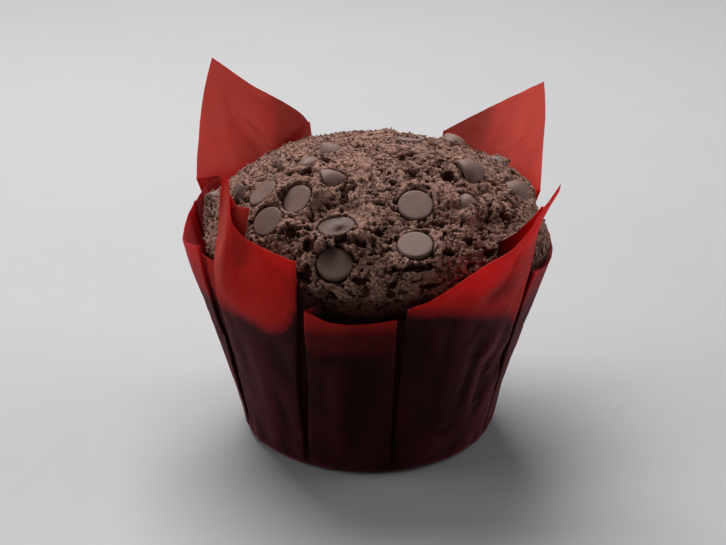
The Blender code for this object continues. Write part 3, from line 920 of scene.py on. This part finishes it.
def build_crust(settings):
    crust = add_dome("muffin_crust")
    move_points(crust.data, drawn_in(points_of(crust.data)))
    points = points_of(crust.data)
    normals = normals_of(crust.data)
    shown = points[:, 2] > GRAIN_FADE[0]
    relief = np.zeros(len(points))
    hollow = np.zeros(len(points))
    raised = np.zeros(len(points))
    relief[shown], hollow[shown], raised[shown] = crust_relief(points[shown], settings)
    cavities = np.zeros(len(points))
    cavities[shown] = cavity_depth(points[shown])
    relief -= cavities
    hollow = np.maximum(hollow, ease(cavities / (0.7 * MM)))
    strength = ease((points[:, 2] - GRAIN_FADE[0]) / (GRAIN_FADE[1] - GRAIN_FADE[0]))
    seats = list(enumerate(chip_seats(), start=1))
    for number, seat in seats:
        near = np.flatnonzero(np.linalg.norm(points - seat.middle, axis=1) < 2.6 * CHIP_RADIUS)
        rise = bedding(points[near], normals[near], seat) + burying(points[near], seat, number)
        points[near] += normals[near] * rise[:, None]
        over = np.linalg.norm(points[near] - seat.foot, axis=1) / (CHIP_RADIUS * seat.size)
        relief[near] = np.minimum(relief[near], mix(0.35 * MM, relief[near], ease((over - 0.85) / 0.15)))
    points = points + normals * (relief * strength)[:, None]
    dug = np.zeros(len(points))
    for number, seat in seats:
        near = np.flatnonzero(np.linalg.norm(points - seat.middle, axis=1) < 2.2 * CHIP_RADIUS)
        deep = pocket_depth(points[near], normals[near], seat, number)
        points[near] -= normals[near] * deep[:, None]
        dug[near] = np.maximum(dug[near], deep)
    move_points(crust.data, points)
    # Painted shade on the crust's lowest band, round and below its widest ring
    underside_shade = ease((45.4 * MM - points[:, 2]) / (2.4 * MM))
    # Painted shade in the pits, cavities and pockets round the chips
    shade = np.clip(hollow * strength + dug / (1.2 * MM), 0.0, 1.0)
    store(crust.data, "hollow", np.maximum(shade, underside_shade))
    store(crust.data, "raised", raised)
    finish_with(crust, "DECIMATE", ratio=CRUST_FACES / triangles(crust.data))
    activate(crust)
    bpy.ops.object.shade_smooth()
    crust.data.materials.append(crust_material(settings))
    placed(crust, "cake", "muffin_cake")
    return crust


# ---- Chips ----

Seat = namedtuple("Seat", "node foot axis size middle")


def chip_seats():
    """Where each chip lies, read from its solid: the middle of its flat foot and its axis."""
    seats = []
    for name in sorted(n for n in frame["nodes"] if n.startswith("chip_")):
        corners = np.unique(points_of(frame["nodes"][name].data).round(7), axis=0)
        middle = corners.mean(axis=0)
        _, directions = np.linalg.eigh(np.cov((corners - middle).T))
        axis = directions[:, 0]
        along = (corners - middle) @ axis
        spread = np.linalg.norm(corners - middle - np.outer(along, axis), axis=1)
        if spread[np.argmin(along)] < spread[np.argmax(along)]:
            axis, along = -axis, -along
        size = (along.max() - along.min()) / CHIP_HEIGHT
        foot = middle + axis * along.min()
        seats.append(Seat(name, foot, axis, size, foot + axis * CHIP_MIDDLE * CHIP_HEIGHT * size))
    return seats


def pocket_depth(points, normals, seat, number):
    """How far each point has to sink to leave room for a chip."""
    spare = 0.0 if number in BURIED_CHIPS else 0.34 * MM
    gap = 0.06 * MM + spare * ease(sampled(points, 2.2 * MM, 40.0 + number) * 2.4 - 0.25)
    heights = np.array([h for _, h in CHIP_OUTLINE]) * CHIP_HEIGHT
    radii = np.array([r for r, _ in CHIP_OUTLINE]) * CHIP_RADIUS
    depth = np.zeros(len(points))
    covered = np.zeros(len(points), bool)
    # Only crust that lies less than this over the chip is cleared away
    if number in BARE_CHIPS:
        clean = 1.8 * MM
    elif number in BURIED_CHIPS:
        clean = 0.1 * MM
    else:
        clean = 0.4 * MM
    step = 0.12 * MM
    for sink in np.arange(0.0, 7.5 * MM, step):
        offset = points - normals * sink - seat.foot
        along = offset @ seat.axis
        away = np.linalg.norm(offset - np.outer(along, seat.axis), axis=1)
        room = np.interp(along / seat.size, heights, radii) * seat.size + gap
        inside = (along > -gap) & (along < CHIP_HEIGHT * seat.size + gap) & (away < room)
        if sink < clean:
            covered |= inside
        depth = np.where(inside & covered, sink + step, depth)
    return depth


def model_chip():
    """One chip on its foot at the origin: a disc drawn up to a soft peak, its edges rounded."""
    deselect()
    bpy.ops.mesh.primitive_circle_add(vertices=28, radius=CHIP_RADIUS * 0.45, fill_type="NGON")
    chip = added("chip_master")
    with editing(chip, "FACE"):
        bpy.ops.mesh.select_all(action="SELECT")
        bpy.ops.mesh.inset(thickness=CHIP_RADIUS * 0.2)
        bpy.ops.mesh.select_all(action="SELECT")
        bpy.ops.mesh.flip_normals()
        bpy.ops.mesh.select_mode(type="EDGE")
        bpy.ops.mesh.select_all(action="DESELECT")
        bpy.ops.mesh.select_non_manifold()
        radius, height = 0.45, 0.0
        for wide, high in CHIP_OUTLINE[:-1]:
            extrude_ring((high - height) * CHIP_HEIGHT, wide / radius, high * CHIP_HEIGHT)
            radius, height = wide, high
        extrude_ring(0.085 * CHIP_HEIGHT, 0.4, 0.0)
        close_ring()
    finish_with(chip, "SUBSURF", levels=1, render_levels=1)
    return chip


def dent_chip(points, number, seat):
    """Press a hollow into a chip's flank."""
    (azimuth, place), width, depth = DENTS[number]
    spot = dome_points(np.array([radians(azimuth)]), np.array([place]))[0]
    away = np.linalg.norm(points - spot, axis=1) / MM
    away = away - away.min()
    inward = seat.middle - points
    inward /= np.linalg.norm(inward, axis=1)[:, None]
    return points + inward * (np.exp(-((away / width) ** 2)) * depth * MM)[:, None]


def build_chips(settings):
    master = model_chip()
    shape = points_of(master.data)
    material = chocolate_material(settings)
    for number, seat in enumerate(chip_seats(), start=1):
        activate(master)
        bpy.ops.object.duplicate()
        chip = added(f"chocolate_{seat.node}")
        turn = np.array(Vector(seat.axis).to_track_quat("Z", "Y").to_matrix())
        warp = sampled(shape + number * 0.01, 3.2 * MM, number * 3.1) * 0.09 * MM
        dent = sampled(shape + number * 0.01, 1.1 * MM, number * 1.7) * 0.025 * MM
        outward = shape / np.maximum(np.linalg.norm(shape, axis=1), 1e-9)[:, None]
        worn = (shape + outward * np.minimum(warp + dent, 0.0)[:, None]) * 0.995
        worn = worn * seat.size @ turn.T + seat.foot
        move_points(chip.data, dent_chip(worn, number, seat) if number in DENTS else worn)
        activate(chip)
        bpy.ops.object.shade_smooth()
        chip.data.materials.append(material)
        # Listed chips take painted shade; the others differ a little in tone at random
        dark = SHADED_CHIPS.get(number, 0.15 * noise.cell(Vector((number + 0.5, 0.5, 0.5))))
        store(chip.data, "dark", np.full(len(worn), dark))
        placed(chip, "chocolate", seat.node)
    bpy.data.objects.remove(master)


# ---- Crumbs ----


def crumb_shapes(generator):
    """A few uneven crumbs, each about one unit across."""
    shapes = []
    for number in range(CRUMB_SHAPES):
        deselect()
        bpy.ops.mesh.primitive_ico_sphere_add(subdivisions=CRUMB_DETAIL, radius=0.5)
        crumb = added("crumb_shape")
        points = points_of(crumb.data)
        lumps = np.array([noise.noise(Vector(p) * 1.9 + Vector((number * 5.3, 0, 0))) for p in points])
        points = points * (1.0 + 0.75 * lumps)[:, None] * generator.uniform(0.65, 1.0, 3)
        faces = np.array([tuple(f.vertices) for f in crumb.data.polygons])
        shapes.append((points, faces))
        bpy.data.objects.remove(crumb)
    return shapes


def random_turns(generator, count):
    """Turns that favour no direction, as 3x3 arrays."""
    found = []
    for _ in range(count):
        q, r = np.linalg.qr(generator.normal(size=(3, 3)))
        q = q * np.sign(np.diag(r))
        found.append(q * np.sign(np.linalg.det(q)))
    return np.array(found)


def build_crumbs(crust, settings):
    """Loose crumbs over the crust, and baked onto some of the chips, joined into one mesh."""
    generator = np.random.default_rng(CRUMB_SEED)
    points, normals = points_of(crust.data), normals_of(crust.data)
    open_ground = np.flatnonzero((points[:, 2] > SHOULDER_HEIGHT) & (kept(crust.data, "hollow") < 0.4))
    spots = generator.choice(open_ground, settings.crumb_count, replace=False)
    places = [points[spots]]
    ups = [normals[spots]]
    seats = chip_seats()
    bottom = np.array((0.0, 0.0, SHOULDER_HEIGHT - 12 * MM))
    for number in CRUMBED_CHIPS:
        chip = bpy.data.objects[f"chocolate_{seats[number - 1].node}"]
        corners, outward = points_of(chip.data), normals_of(chip.data)
        up = (corners - bottom) / np.linalg.norm(corners - bottom, axis=1)[:, None]
        cover = sampled(corners, 2.4 * MM, 60.0 + number) + 0.1
        bare = np.flatnonzero((np.einsum("ij,ij->i", outward, up) > 0.1) & (cover > 0.0))
        chosen = generator.choice(bare, min(CRUMBS_ON_CHIP, len(bare)), replace=False)
        places.append(corners[chosen])
        ups.append(outward[chosen])
    places, ups = np.concatenate(places), np.concatenate(ups)
    sizes = mix(0.40, 1.0, generator.random(len(places)) ** 3.0) * settings.crumb_size
    shapes = crumb_shapes(generator)
    turns = random_turns(generator, len(places))
    corners, faces, start = [], [], 0
    for number, (place, up, size, turn) in enumerate(zip(places, ups, sizes, turns)):
        shape, polygons = shapes[number % len(shapes)]
        corners.append(shape @ turn.T * size + place + up * size * 0.10)
        faces.append(polygons + start)
        start += len(shape)
    mesh = bpy.data.meshes.new("loose_crumbs")
    mesh.from_pydata(np.concatenate(corners).tolist(), [], np.concatenate(faces).tolist())
    crumbs = bpy.data.objects.new("loose_crumbs", mesh)
    bpy.context.scene.collection.objects.link(crumbs)
    store(mesh, "hollow", np.zeros(start))
    store(mesh, "raised", np.repeat(generator.random(len(places)), len(shapes[0][0])))
    activate(crumbs)
    bpy.ops.object.shade_smooth()
    mesh.materials.append(crust.data.materials[0])
    placed(crumbs, "cake")


# ---- Materials ----


def new_material(name):
    """A material with its node tree and its main shader."""
    material = bpy.data.materials.new(name)
    material.use_nodes = True
    tree = material.node_tree
    return material, tree, tree.nodes["Principled BSDF"]


def node(tree, kind, **inputs):
    """A node with some of its inputs set, by socket name, to a value or another socket."""
    made = tree.nodes.new(kind)
    for name, value in inputs.items():
        feed(tree, made.inputs[name.replace("_", " ")], value)
    return made


def feed(tree, socket, value):
    """Link another socket to this one, or set its value or its opaque colour."""
    if isinstance(value, bpy.types.NodeSocket):
        tree.links.new(value, socket)
    elif socket.type == "RGBA":
        socket.default_value = (*value, 1.0)
    else:
        socket.default_value = value


def blended(tree, factor, first, second):
    """A colour between two, by a mask."""
    made = tree.nodes.new("ShaderNodeMix")
    made.data_type = "RGBA"
    feed(tree, made.inputs["Factor"], factor)
    feed(tree, made.inputs[6], first)
    feed(tree, made.inputs[7], second)
    return made.outputs[2]


def remapped(tree, value, low, high, to_low=0.0, to_high=1.0):
    """A value stretched from one range to another."""
    made = node(tree, "ShaderNodeMapRange", Value=value, From_Min=low, From_Max=high)
    made.inputs["To Min"].default_value = to_low
    made.inputs["To Max"].default_value = to_high
    return made.outputs["Result"]


def attribute(tree, name):
    """The numbers that store() kept under a name."""
    made = tree.nodes.new("ShaderNodeAttribute")
    made.attribute_name = name
    return made.outputs["Fac"]


def calculated(tree, operation, first, second):
    """A sum, a product or the like of two values."""
    made = tree.nodes.new("ShaderNodeMath")
    made.operation = operation
    feed(tree, made.inputs[0], first)
    feed(tree, made.inputs[1], second)
    return made.outputs[0]


def noise_mask(tree, scale, detail, distortion=0.0):
    """Noise on object coordinates."""
    where = tree.nodes.new("ShaderNodeTexCoord").outputs["Object"]
    made = node(tree, "ShaderNodeTexNoise", Vector=where, Scale=scale, Detail=detail, Distortion=distortion)
    return made.outputs["Fac"]


def new_group(name, output, **inputs):
    """A node group with an output and inputs with defaults, and its two ends."""
    group = bpy.data.node_groups.new(name, "ShaderNodeTree")
    for label, default in inputs.items():
        label = label.replace("_", " ")
        socket = group.interface.new_socket(label, in_out="INPUT", socket_type="NodeSocketFloat")
        socket.default_value = default
    group.interface.new_socket(output, in_out="OUTPUT", socket_type="NodeSocketFloat")
    return group, group.nodes.new("NodeGroupInput").outputs, group.nodes.new("NodeGroupOutput").inputs


def mottle_group():
    """A soft mask of blotches and specks at two scales, on object coordinates."""
    found = bpy.data.node_groups.get("Mottle")
    if found:
        return found
    group, given, result = new_group(
        "Mottle", "Mask", Blotch_Scale=200.0, Speck_Scale=1500.0, Speck_Share=0.4
    )
    blend = group.nodes.new("ShaderNodeMix")
    feed(group, blend.inputs[0], given["Speck Share"])
    feed(group, blend.inputs[2], noise_mask(group, given["Blotch Scale"], 3.0))
    feed(group, blend.inputs[3], noise_mask(group, given["Speck Scale"], 2.0))
    feed(group, result["Mask"], remapped(group, blend.outputs[0], 0.34, 0.66))
    return group


def grain_group():
    """Fine relief at two scales, on object coordinates."""
    found = bpy.data.node_groups.get("Grain")
    if found:
        return found
    group, given, result = new_group("Grain", "Height", Coarse_Scale=900.0, Fine_Scale=3000.0)
    coarse = noise_mask(group, given["Coarse Scale"], 2.0)
    fine = noise_mask(group, given["Fine Scale"], 2.0)
    feed(group, result["Height"], calculated(group, "ADD", coarse, fine))
    return group


def grouped(tree, group, **inputs):
    """A node group's result with some of its inputs set."""
    made = tree.nodes.new("ShaderNodeGroup")
    made.node_tree = group
    for name, value in inputs.items():
        made.inputs[name.replace("_", " ")].default_value = value
    return made.outputs[0]


def bumped(tree, height, distance, strength=1.0, **more):
    """A normal that a height tilts, on top of another normal if one is given."""
    made = node(tree, "ShaderNodeBump", Height=height, Distance=distance, Strength=strength, **more)
    return made.outputs["Normal"]


def parchment_material(settings):
    """Red parchment: it glows where light comes through, and darkens with grease and painted shade where it
    lies on the cake and in its pleats.
    """
    material, tree, shader = new_material("red parchment")
    mottle = grouped(tree, mottle_group(), Blotch_Scale=130.0, Speck_Scale=900.0, Speck_Share=0.35)
    touching = attribute(tree, "contact")
    covered = attribute(tree, "covered")
    dry = blended(tree, mottle, settings.dry_dark, settings.dry)
    # Paler inner face: partly its own tone, partly painted sheen
    dry = blended(tree, attribute(tree, "pale"), dry, settings.inside)
    # Painted light on crests and painted shade in troughs of the paper on the cake
    patches = remapped(tree, attribute(tree, "relief_shading"), 0.25, 0.95, 0.0, 0.6)
    greasy_and_shaded = blended(tree, patches, settings.greasy_and_shaded_dark, settings.greasy_and_shaded)
    fringe = remapped(tree, attribute(tree, "damp"), 0.0, 1.0, 0.0, 0.75)
    dry = blended(tree, fringe, dry, settings.damp)
    # Paper on the cake: grease and painted shade
    colour = blended(tree, touching, dry, greasy_and_shaded)
    # Painted shade in the slits, on shut flaps and under doubled layers
    colour = blended(tree, covered, colour, settings.slit_shade)
    feed(tree, shader.inputs["Base Color"], colour)
    feed(tree, shader.inputs["Roughness"], remapped(tree, mottle, 0.0, 1.0, 0.50, 0.64))
    shader.inputs["Specular IOR Level"].default_value = 0.06
    shader.inputs["Sheen Weight"].default_value = settings.haze
    shader.inputs["Sheen Roughness"].default_value = 0.45
    shader.inputs["Sheen Tint"].default_value = (1.0, 0.24, 0.29, 1.0)
    relief = grouped(tree, grain_group(), Coarse_Scale=420.0, Fine_Scale=1700.0)
    folds = remapped(tree, noise_mask(tree, 230.0, 2.0, 0.8), 0.50, 0.57)
    crumpled = remapped(tree, attribute(tree, "crumpled"), 0.0, 1.0, 0.12, 1.0)
    creased = bumped(tree, calculated(tree, "MULTIPLY", folds, crumpled), 0.12 * MM, 0.8)
    surface = bumped(tree, relief, 0.06 * MM, 0.6, Normal=creased)
    feed(tree, shader.inputs["Normal"], surface)
    glow_dry = blended(tree, mottle, settings.glow_dark, settings.glow)
    glow_dry = blended(tree, fringe, glow_dry, settings.damp)
    # Painted shade also dims the light through paper on the cake
    glow = blended(tree, touching, glow_dry, settings.greasy_and_shaded_dark)
    # Painted shade also dims the light through the slits and doubled layers
    glow = blended(tree, covered, glow, settings.slit_shade)
    through = node(tree, "ShaderNodeBsdfTranslucent", Color=glow, Normal=surface)
    both = tree.nodes.new("ShaderNodeMixShader")
    both.inputs[0].default_value = settings.translucency
    tree.links.new(shader.outputs[0], both.inputs[1])
    tree.links.new(through.outputs[0], both.inputs[2])
    tree.links.new(both.outputs[0], tree.nodes["Material Output"].inputs["Surface"])
    return material


def crust_material(settings):
    """Chocolate crumb: dull brown with painted shade in its pores and a painted greyer sheen on what stands
    out.
    """
    material, tree, shader = new_material("chocolate crust")
    mottle = grouped(tree, mottle_group(), Blotch_Scale=150.0, Speck_Scale=1800.0, Speck_Share=0.72)
    specks = remapped(tree, mottle, 0.15, 0.85)
    crumb = blended(tree, specks, settings.crumb_dark, settings.crumb)
    raised = attribute(tree, "raised")
    # Painted greyer sheen on the raised grains
    lit = blended(tree, remapped(tree, raised, 0.0, 1.0, 0.0, 0.65), crumb, settings.bloom_and_sheen)
    crowded = remapped(tree, noise_mask(tree, 190.0, 1.0), 0.35, 0.65, -0.05, 0.05)
    opened = calculated(tree, "ADD", noise_mask(tree, 1000.0, 2.5, 0.4), crowded)
    pinhole = remapped(tree, opened, 0.57, 0.66)
    # Painted shade in the pinholes, which the bump below also sinks
    colour = blended(tree, remapped(tree, pinhole, 0.0, 1.0, 0.0, 0.75), lit, settings.pore_shade)
    # Painted shade in pits, cavities, pockets and on the lowest band
    colour = blended(tree, attribute(tree, "hollow"), colour, settings.pore_shade)
    feed(tree, shader.inputs["Base Color"], colour)
    feed(tree, shader.inputs["Roughness"], remapped(tree, mottle, 0.0, 1.0, 0.66, 0.88))
    shader.inputs["Specular IOR Level"].default_value = 0.25
    relief = grouped(tree, grain_group(), Coarse_Scale=1300.0, Fine_Scale=3200.0)
    grain = bumped(tree, relief, 0.30 * MM)
    sunk = node(tree, "ShaderNodeBump", Height=pinhole, Distance=0.22 * MM, Strength=1.0, Normal=grain)
    sunk.invert = True
    feed(tree, shader.inputs["Normal"], sunk.outputs["Normal"])
    return material


def chocolate_material(settings):
    """Chip chocolate: satin, with a faint grey bloom and tiny scuffs."""
    material, tree, shader = new_material("chip chocolate")
    mottle = grouped(tree, mottle_group(), Blotch_Scale=330.0, Speck_Scale=2200.0, Speck_Share=0.3)
    colour = blended(tree, mottle, settings.chocolate, settings.bloom_and_sheen)
    # Painted shade on the chips that lie less in the light
    colour = blended(tree, attribute(tree, "dark"), colour, settings.dark)
    feed(tree, shader.inputs["Base Color"], colour)
    feed(tree, shader.inputs["Roughness"], remapped(tree, mottle, 0.0, 1.0, 0.50, 0.64))
    shader.inputs["Specular IOR Level"].default_value = 0.2
    relief = grouped(tree, grain_group(), Coarse_Scale=700.0, Fine_Scale=3600.0)
    feed(tree, shader.inputs["Normal"], bumped(tree, relief, 0.04 * MM, 0.5))
    return material


def floor_material(settings):
    material, tree, shader = new_material("pale floor")
    mottle = grouped(tree, mottle_group(), Blotch_Scale=14.0, Speck_Scale=160.0, Speck_Share=0.3)
    paler = [min(1.0, c * 1.04) for c in settings.floor]
    feed(tree, shader.inputs["Base Color"], blended(tree, mottle, settings.floor, paler))
    shader.inputs["Roughness"].default_value = 0.6
    return material


# ---- Stage ----


def add_light(name, place, aim, size, power, colour=(1.0, 1.0, 1.0)):
    """A soft rectangular light at a place, turned to what it is aimed at."""
    deselect()
    bpy.ops.object.light_add(type="AREA", location=place)
    light = bpy.context.active_object
    light.name = name
    light.data.shape = "RECTANGLE"
    light.data.size, light.data.size_y = size
    light.data.energy = power
    light.data.color = colour
    light.rotation_euler = (Vector(aim) - Vector(place)).to_track_quat("-Z", "Y").to_euler()


def build_stage(settings):
    low, high = CAD_BOX
    deselect()
    bpy.ops.mesh.primitive_plane_add(size=6.0, location=(0.0, 1.0, low.z))
    floor = added("floor")
    floor.data.transform(floor.matrix_world)
    floor.matrix_world.identity()
    floor.data.materials.append(floor_material(settings))
    middle = (0.0, 0.0, high.z * 0.5)
    add_light("key", (-0.12, 0.34, 0.64), middle, (0.55, 0.45), settings.key_power, (1.0, 0.98, 0.96))
    add_light("left", (-0.85, -0.10, 0.40), middle, (0.6, 0.6), settings.fill_power)
    add_light("right", (0.85, 0.08, 0.40), middle, (0.6, 0.6), settings.fill_power)
    world = bpy.data.worlds.new("Studio")
    bpy.context.scene.world = world
    world.use_nodes = True
    background = world.node_tree.nodes["Background"]
    background.inputs["Color"].default_value = (0.92, 0.95, 1.0, 1.0)
    background.inputs["Strength"].default_value = settings.ambient
    bpy.context.scene.view_settings.view_transform = "Standard"
    rise = settings.camera_elevation
    place = Vector((0.0, -cos(rise), sin(rise))) * settings.camera_distance
    bpy.ops.object.camera_add(location=place)
    camera = bpy.context.active_object
    camera.data.sensor_width = 36.0
    camera.data.lens = settings.lens
    aim = Vector((-0.0013, 0.0, high.z * settings.aim_height))
    camera.rotation_euler = (aim - place).to_track_quat("-Z", "Y").to_euler()
    bpy.context.scene.camera = camera


# ---- Add-on ----


def colour_property(name, description, default):
    return FloatVectorProperty(
        name=name, description=description, default=default, subtype="COLOR", min=0.0, max=1.0
    )


def number_property(name, description, default, low=0.0, high=1000.0, **more):
    return FloatProperty(name=name, description=description, default=default, min=low, max=high, **more)


class WrapSettings(bpy.types.PropertyGroup):
    """Colours and folds of the tulip wrap."""

    dry: colour_property("Dry", "Paper that stands free of the cake", (0.56, 0.022, 0.015))
    dry_dark: colour_property("Dry, thicker", "Darker blotches of the free paper", (0.48, 0.016, 0.011))
    # Partly the inner face's own paler tone, partly painted sheen
    inside: colour_property("Inside", "Paler inner face of the free paper", (0.66, 0.105, 0.078))
    # Paper on the cake, darkened for grease and painted shade
    greasy_and_shaded: colour_property("Greasy", "Paper that lies on the cake", (0.072, 0.0080, 0.0115))
    # The darker colour is the painted shade in the troughs of the paper on the cake
    greasy_and_shaded_dark: colour_property("Greasy, thicker", "Darker blotches of that paper", (0.0110, 0.0032, 0.0025))
    damp: colour_property("Damp", "Free paper next to the greasy paper", (0.260, 0.008, 0.014))
    # Painted shade in the slits, on shut flaps and under doubled layers
    slit_shade: colour_property("Slit", "Paper shut into a pleat", (0.020, 0.0020, 0.0022))
    glow: colour_property("Glow", "Light that comes through the paper", (0.90, 0.016, 0.007))
    glow_dark: colour_property("Glow, thicker", "Light through its thicker blotches", (0.75, 0.010, 0.005))
    translucency: number_property(
        "Translucency", "Share of light let through", 0.40, high=1.0, subtype="FACTOR"
    )
    haze: number_property("Haze", "Pale film seen at a glancing angle", 0.42, high=1.0, subtype="FACTOR")
    crinkle: number_property("Crinkle", "Depth of the paper's creases", 1.0, high=2.0)


class CrustSettings(bpy.types.PropertyGroup):
    """Colours and texture of the crust and its crumbs."""

    crumb: colour_property("Crumb", "Lighter crumb", (0.275, 0.138, 0.099))
    crumb_dark: colour_property("Dark crumb", "Darker crumb", (0.066, 0.0215, 0.0125))
    # Painted shade in pores, cavities, pockets and on the lowest band
    pore_shade: colour_property("Pore", "Bottom of the pores", (0.056, 0.0130, 0.0062))
    # Painted greyer sheen on the tops of the crumb
    bloom_and_sheen: colour_property("Bloom", "Greyer tops of the crumb", (0.320, 0.182, 0.140))
    pore_depth: number_property("Pore Depth", "Depth of the pores", 1.0, high=2.0)
    crumb_count: IntProperty(
        name="Crumbs", description="Loose crumbs on the crust", default=4600, min=0, max=9000
    )
    crumb_size: number_property(
        "Crumb Size", "Width of the largest crumbs", 0.95 * MM, 0.2 * MM, 3 * MM,
        subtype="DISTANCE", unit="LENGTH",
    )


class ChipSettings(bpy.types.PropertyGroup):
    """Colours of the chips."""

    chocolate: colour_property("Chocolate", "Chocolate of the chips", (0.134, 0.075, 0.061))
    bloom_and_sheen: colour_property("Bloom", "Greyer film on the chips", (0.178, 0.110, 0.093))
    # Painted shade for the chips that lie less in the light
    dark: colour_property("Dark", "Chips without a film", (0.074, 0.037, 0.027))


class StageSettings(bpy.types.PropertyGroup):
    """Floor, lights and camera."""

    floor: colour_property("Floor", "Colour of the floor", (0.34, 0.34, 0.35))
    key_power: number_property("Key", "Light from above and behind", 8.4, unit="POWER")
    fill_power: number_property("Sides", "Light from each side", 3.0, unit="POWER")
    ambient: number_property("Ambient", "Even light from all round", 0.145)
    camera_distance: number_property(
        "Camera Distance", "From the middle of the foot", 0.380, 0.1, subtype="DISTANCE", unit="LENGTH"
    )
    camera_elevation: number_property(
        "Camera Elevation", "Above the floor, seen from the foot", radians(27.11),
        subtype="ANGLE", unit="ROTATION",
    )
    lens: number_property("Lens", "Focal length in millimetres", 83.6, 10.0)
    aim_height: number_property("Aim", "Height aimed at, as a part of the whole", 0.482)


class MUFFIN_OT_wrap(bpy.types.Operator):
    """Fold the tulip wrap from one sheet of parchment"""

    bl_idname = "muffin.wrap"
    bl_label = "Tulip Wrap"

    def execute(self, context):
        build_wrap(context.scene.muffin_wrap)
        return {"FINISHED"}


class MUFFIN_OT_crust(bpy.types.Operator):
    """Raise the porous crust with a pocket for each chip"""

    bl_idname = "muffin.crust"
    bl_label = "Crust"

    def execute(self, context):
        build_crust(context.scene.muffin_crust)
        return {"FINISHED"}


class MUFFIN_OT_chips(bpy.types.Operator):
    """Set a chip into each pocket"""

    bl_idname = "muffin.chips"
    bl_label = "Chips"

    def execute(self, context):
        build_chips(context.scene.muffin_chips)
        return {"FINISHED"}


class MUFFIN_OT_crumbs(bpy.types.Operator):
    """Scatter crumbs over the crust and the chips"""

    bl_idname = "muffin.crumbs"
    bl_label = "Crumbs"

    def execute(self, context):
        build_crumbs(bpy.data.objects["muffin_crust"], context.scene.muffin_crust)
        return {"FINISHED"}


class MUFFIN_OT_stage(bpy.types.Operator):
    """Add the floor, the lights and the camera"""

    bl_idname = "muffin.stage"
    bl_label = "Stage"

    def execute(self, context):
        build_stage(context.scene.muffin_stage)
        return {"FINISHED"}


OPERATORS = (MUFFIN_OT_wrap, MUFFIN_OT_crust, MUFFIN_OT_chips, MUFFIN_OT_crumbs, MUFFIN_OT_stage)


class MUFFIN_PT_kit(bpy.types.Panel):
    """Lists the muffin's pieces"""

    bl_idname = "MUFFIN_PT_kit"
    bl_label = "Muffin"
    bl_space_type = "VIEW_3D"
    bl_region_type = "UI"
    bl_category = "Muffin"

    def draw(self, context):
        for operator in OPERATORS:
            self.layout.operator(operator.bl_idname)


SETTINGS = {
    "muffin_wrap": WrapSettings,
    "muffin_crust": CrustSettings,
    "muffin_chips": ChipSettings,
    "muffin_stage": StageSettings,
}
CLASSES = (*SETTINGS.values(), *OPERATORS, MUFFIN_PT_kit)


def register():
    for item in CLASSES:
        bpy.utils.register_class(item)
    for name, kind in SETTINGS.items():
        setattr(bpy.types.Scene, name, PointerProperty(type=kind))


def unregister():
    for name in SETTINGS:
        delattr(bpy.types.Scene, name)
    for item in reversed(CLASSES):
        bpy.utils.unregister_class(item)


def main():
    register()
    bpy.ops.muffin.wrap()
    bpy.ops.muffin.crust()
    bpy.ops.muffin.chips()
    bpy.ops.muffin.crumbs()
    bpy.ops.muffin.stage()


if __name__ == "__main__":
    main()
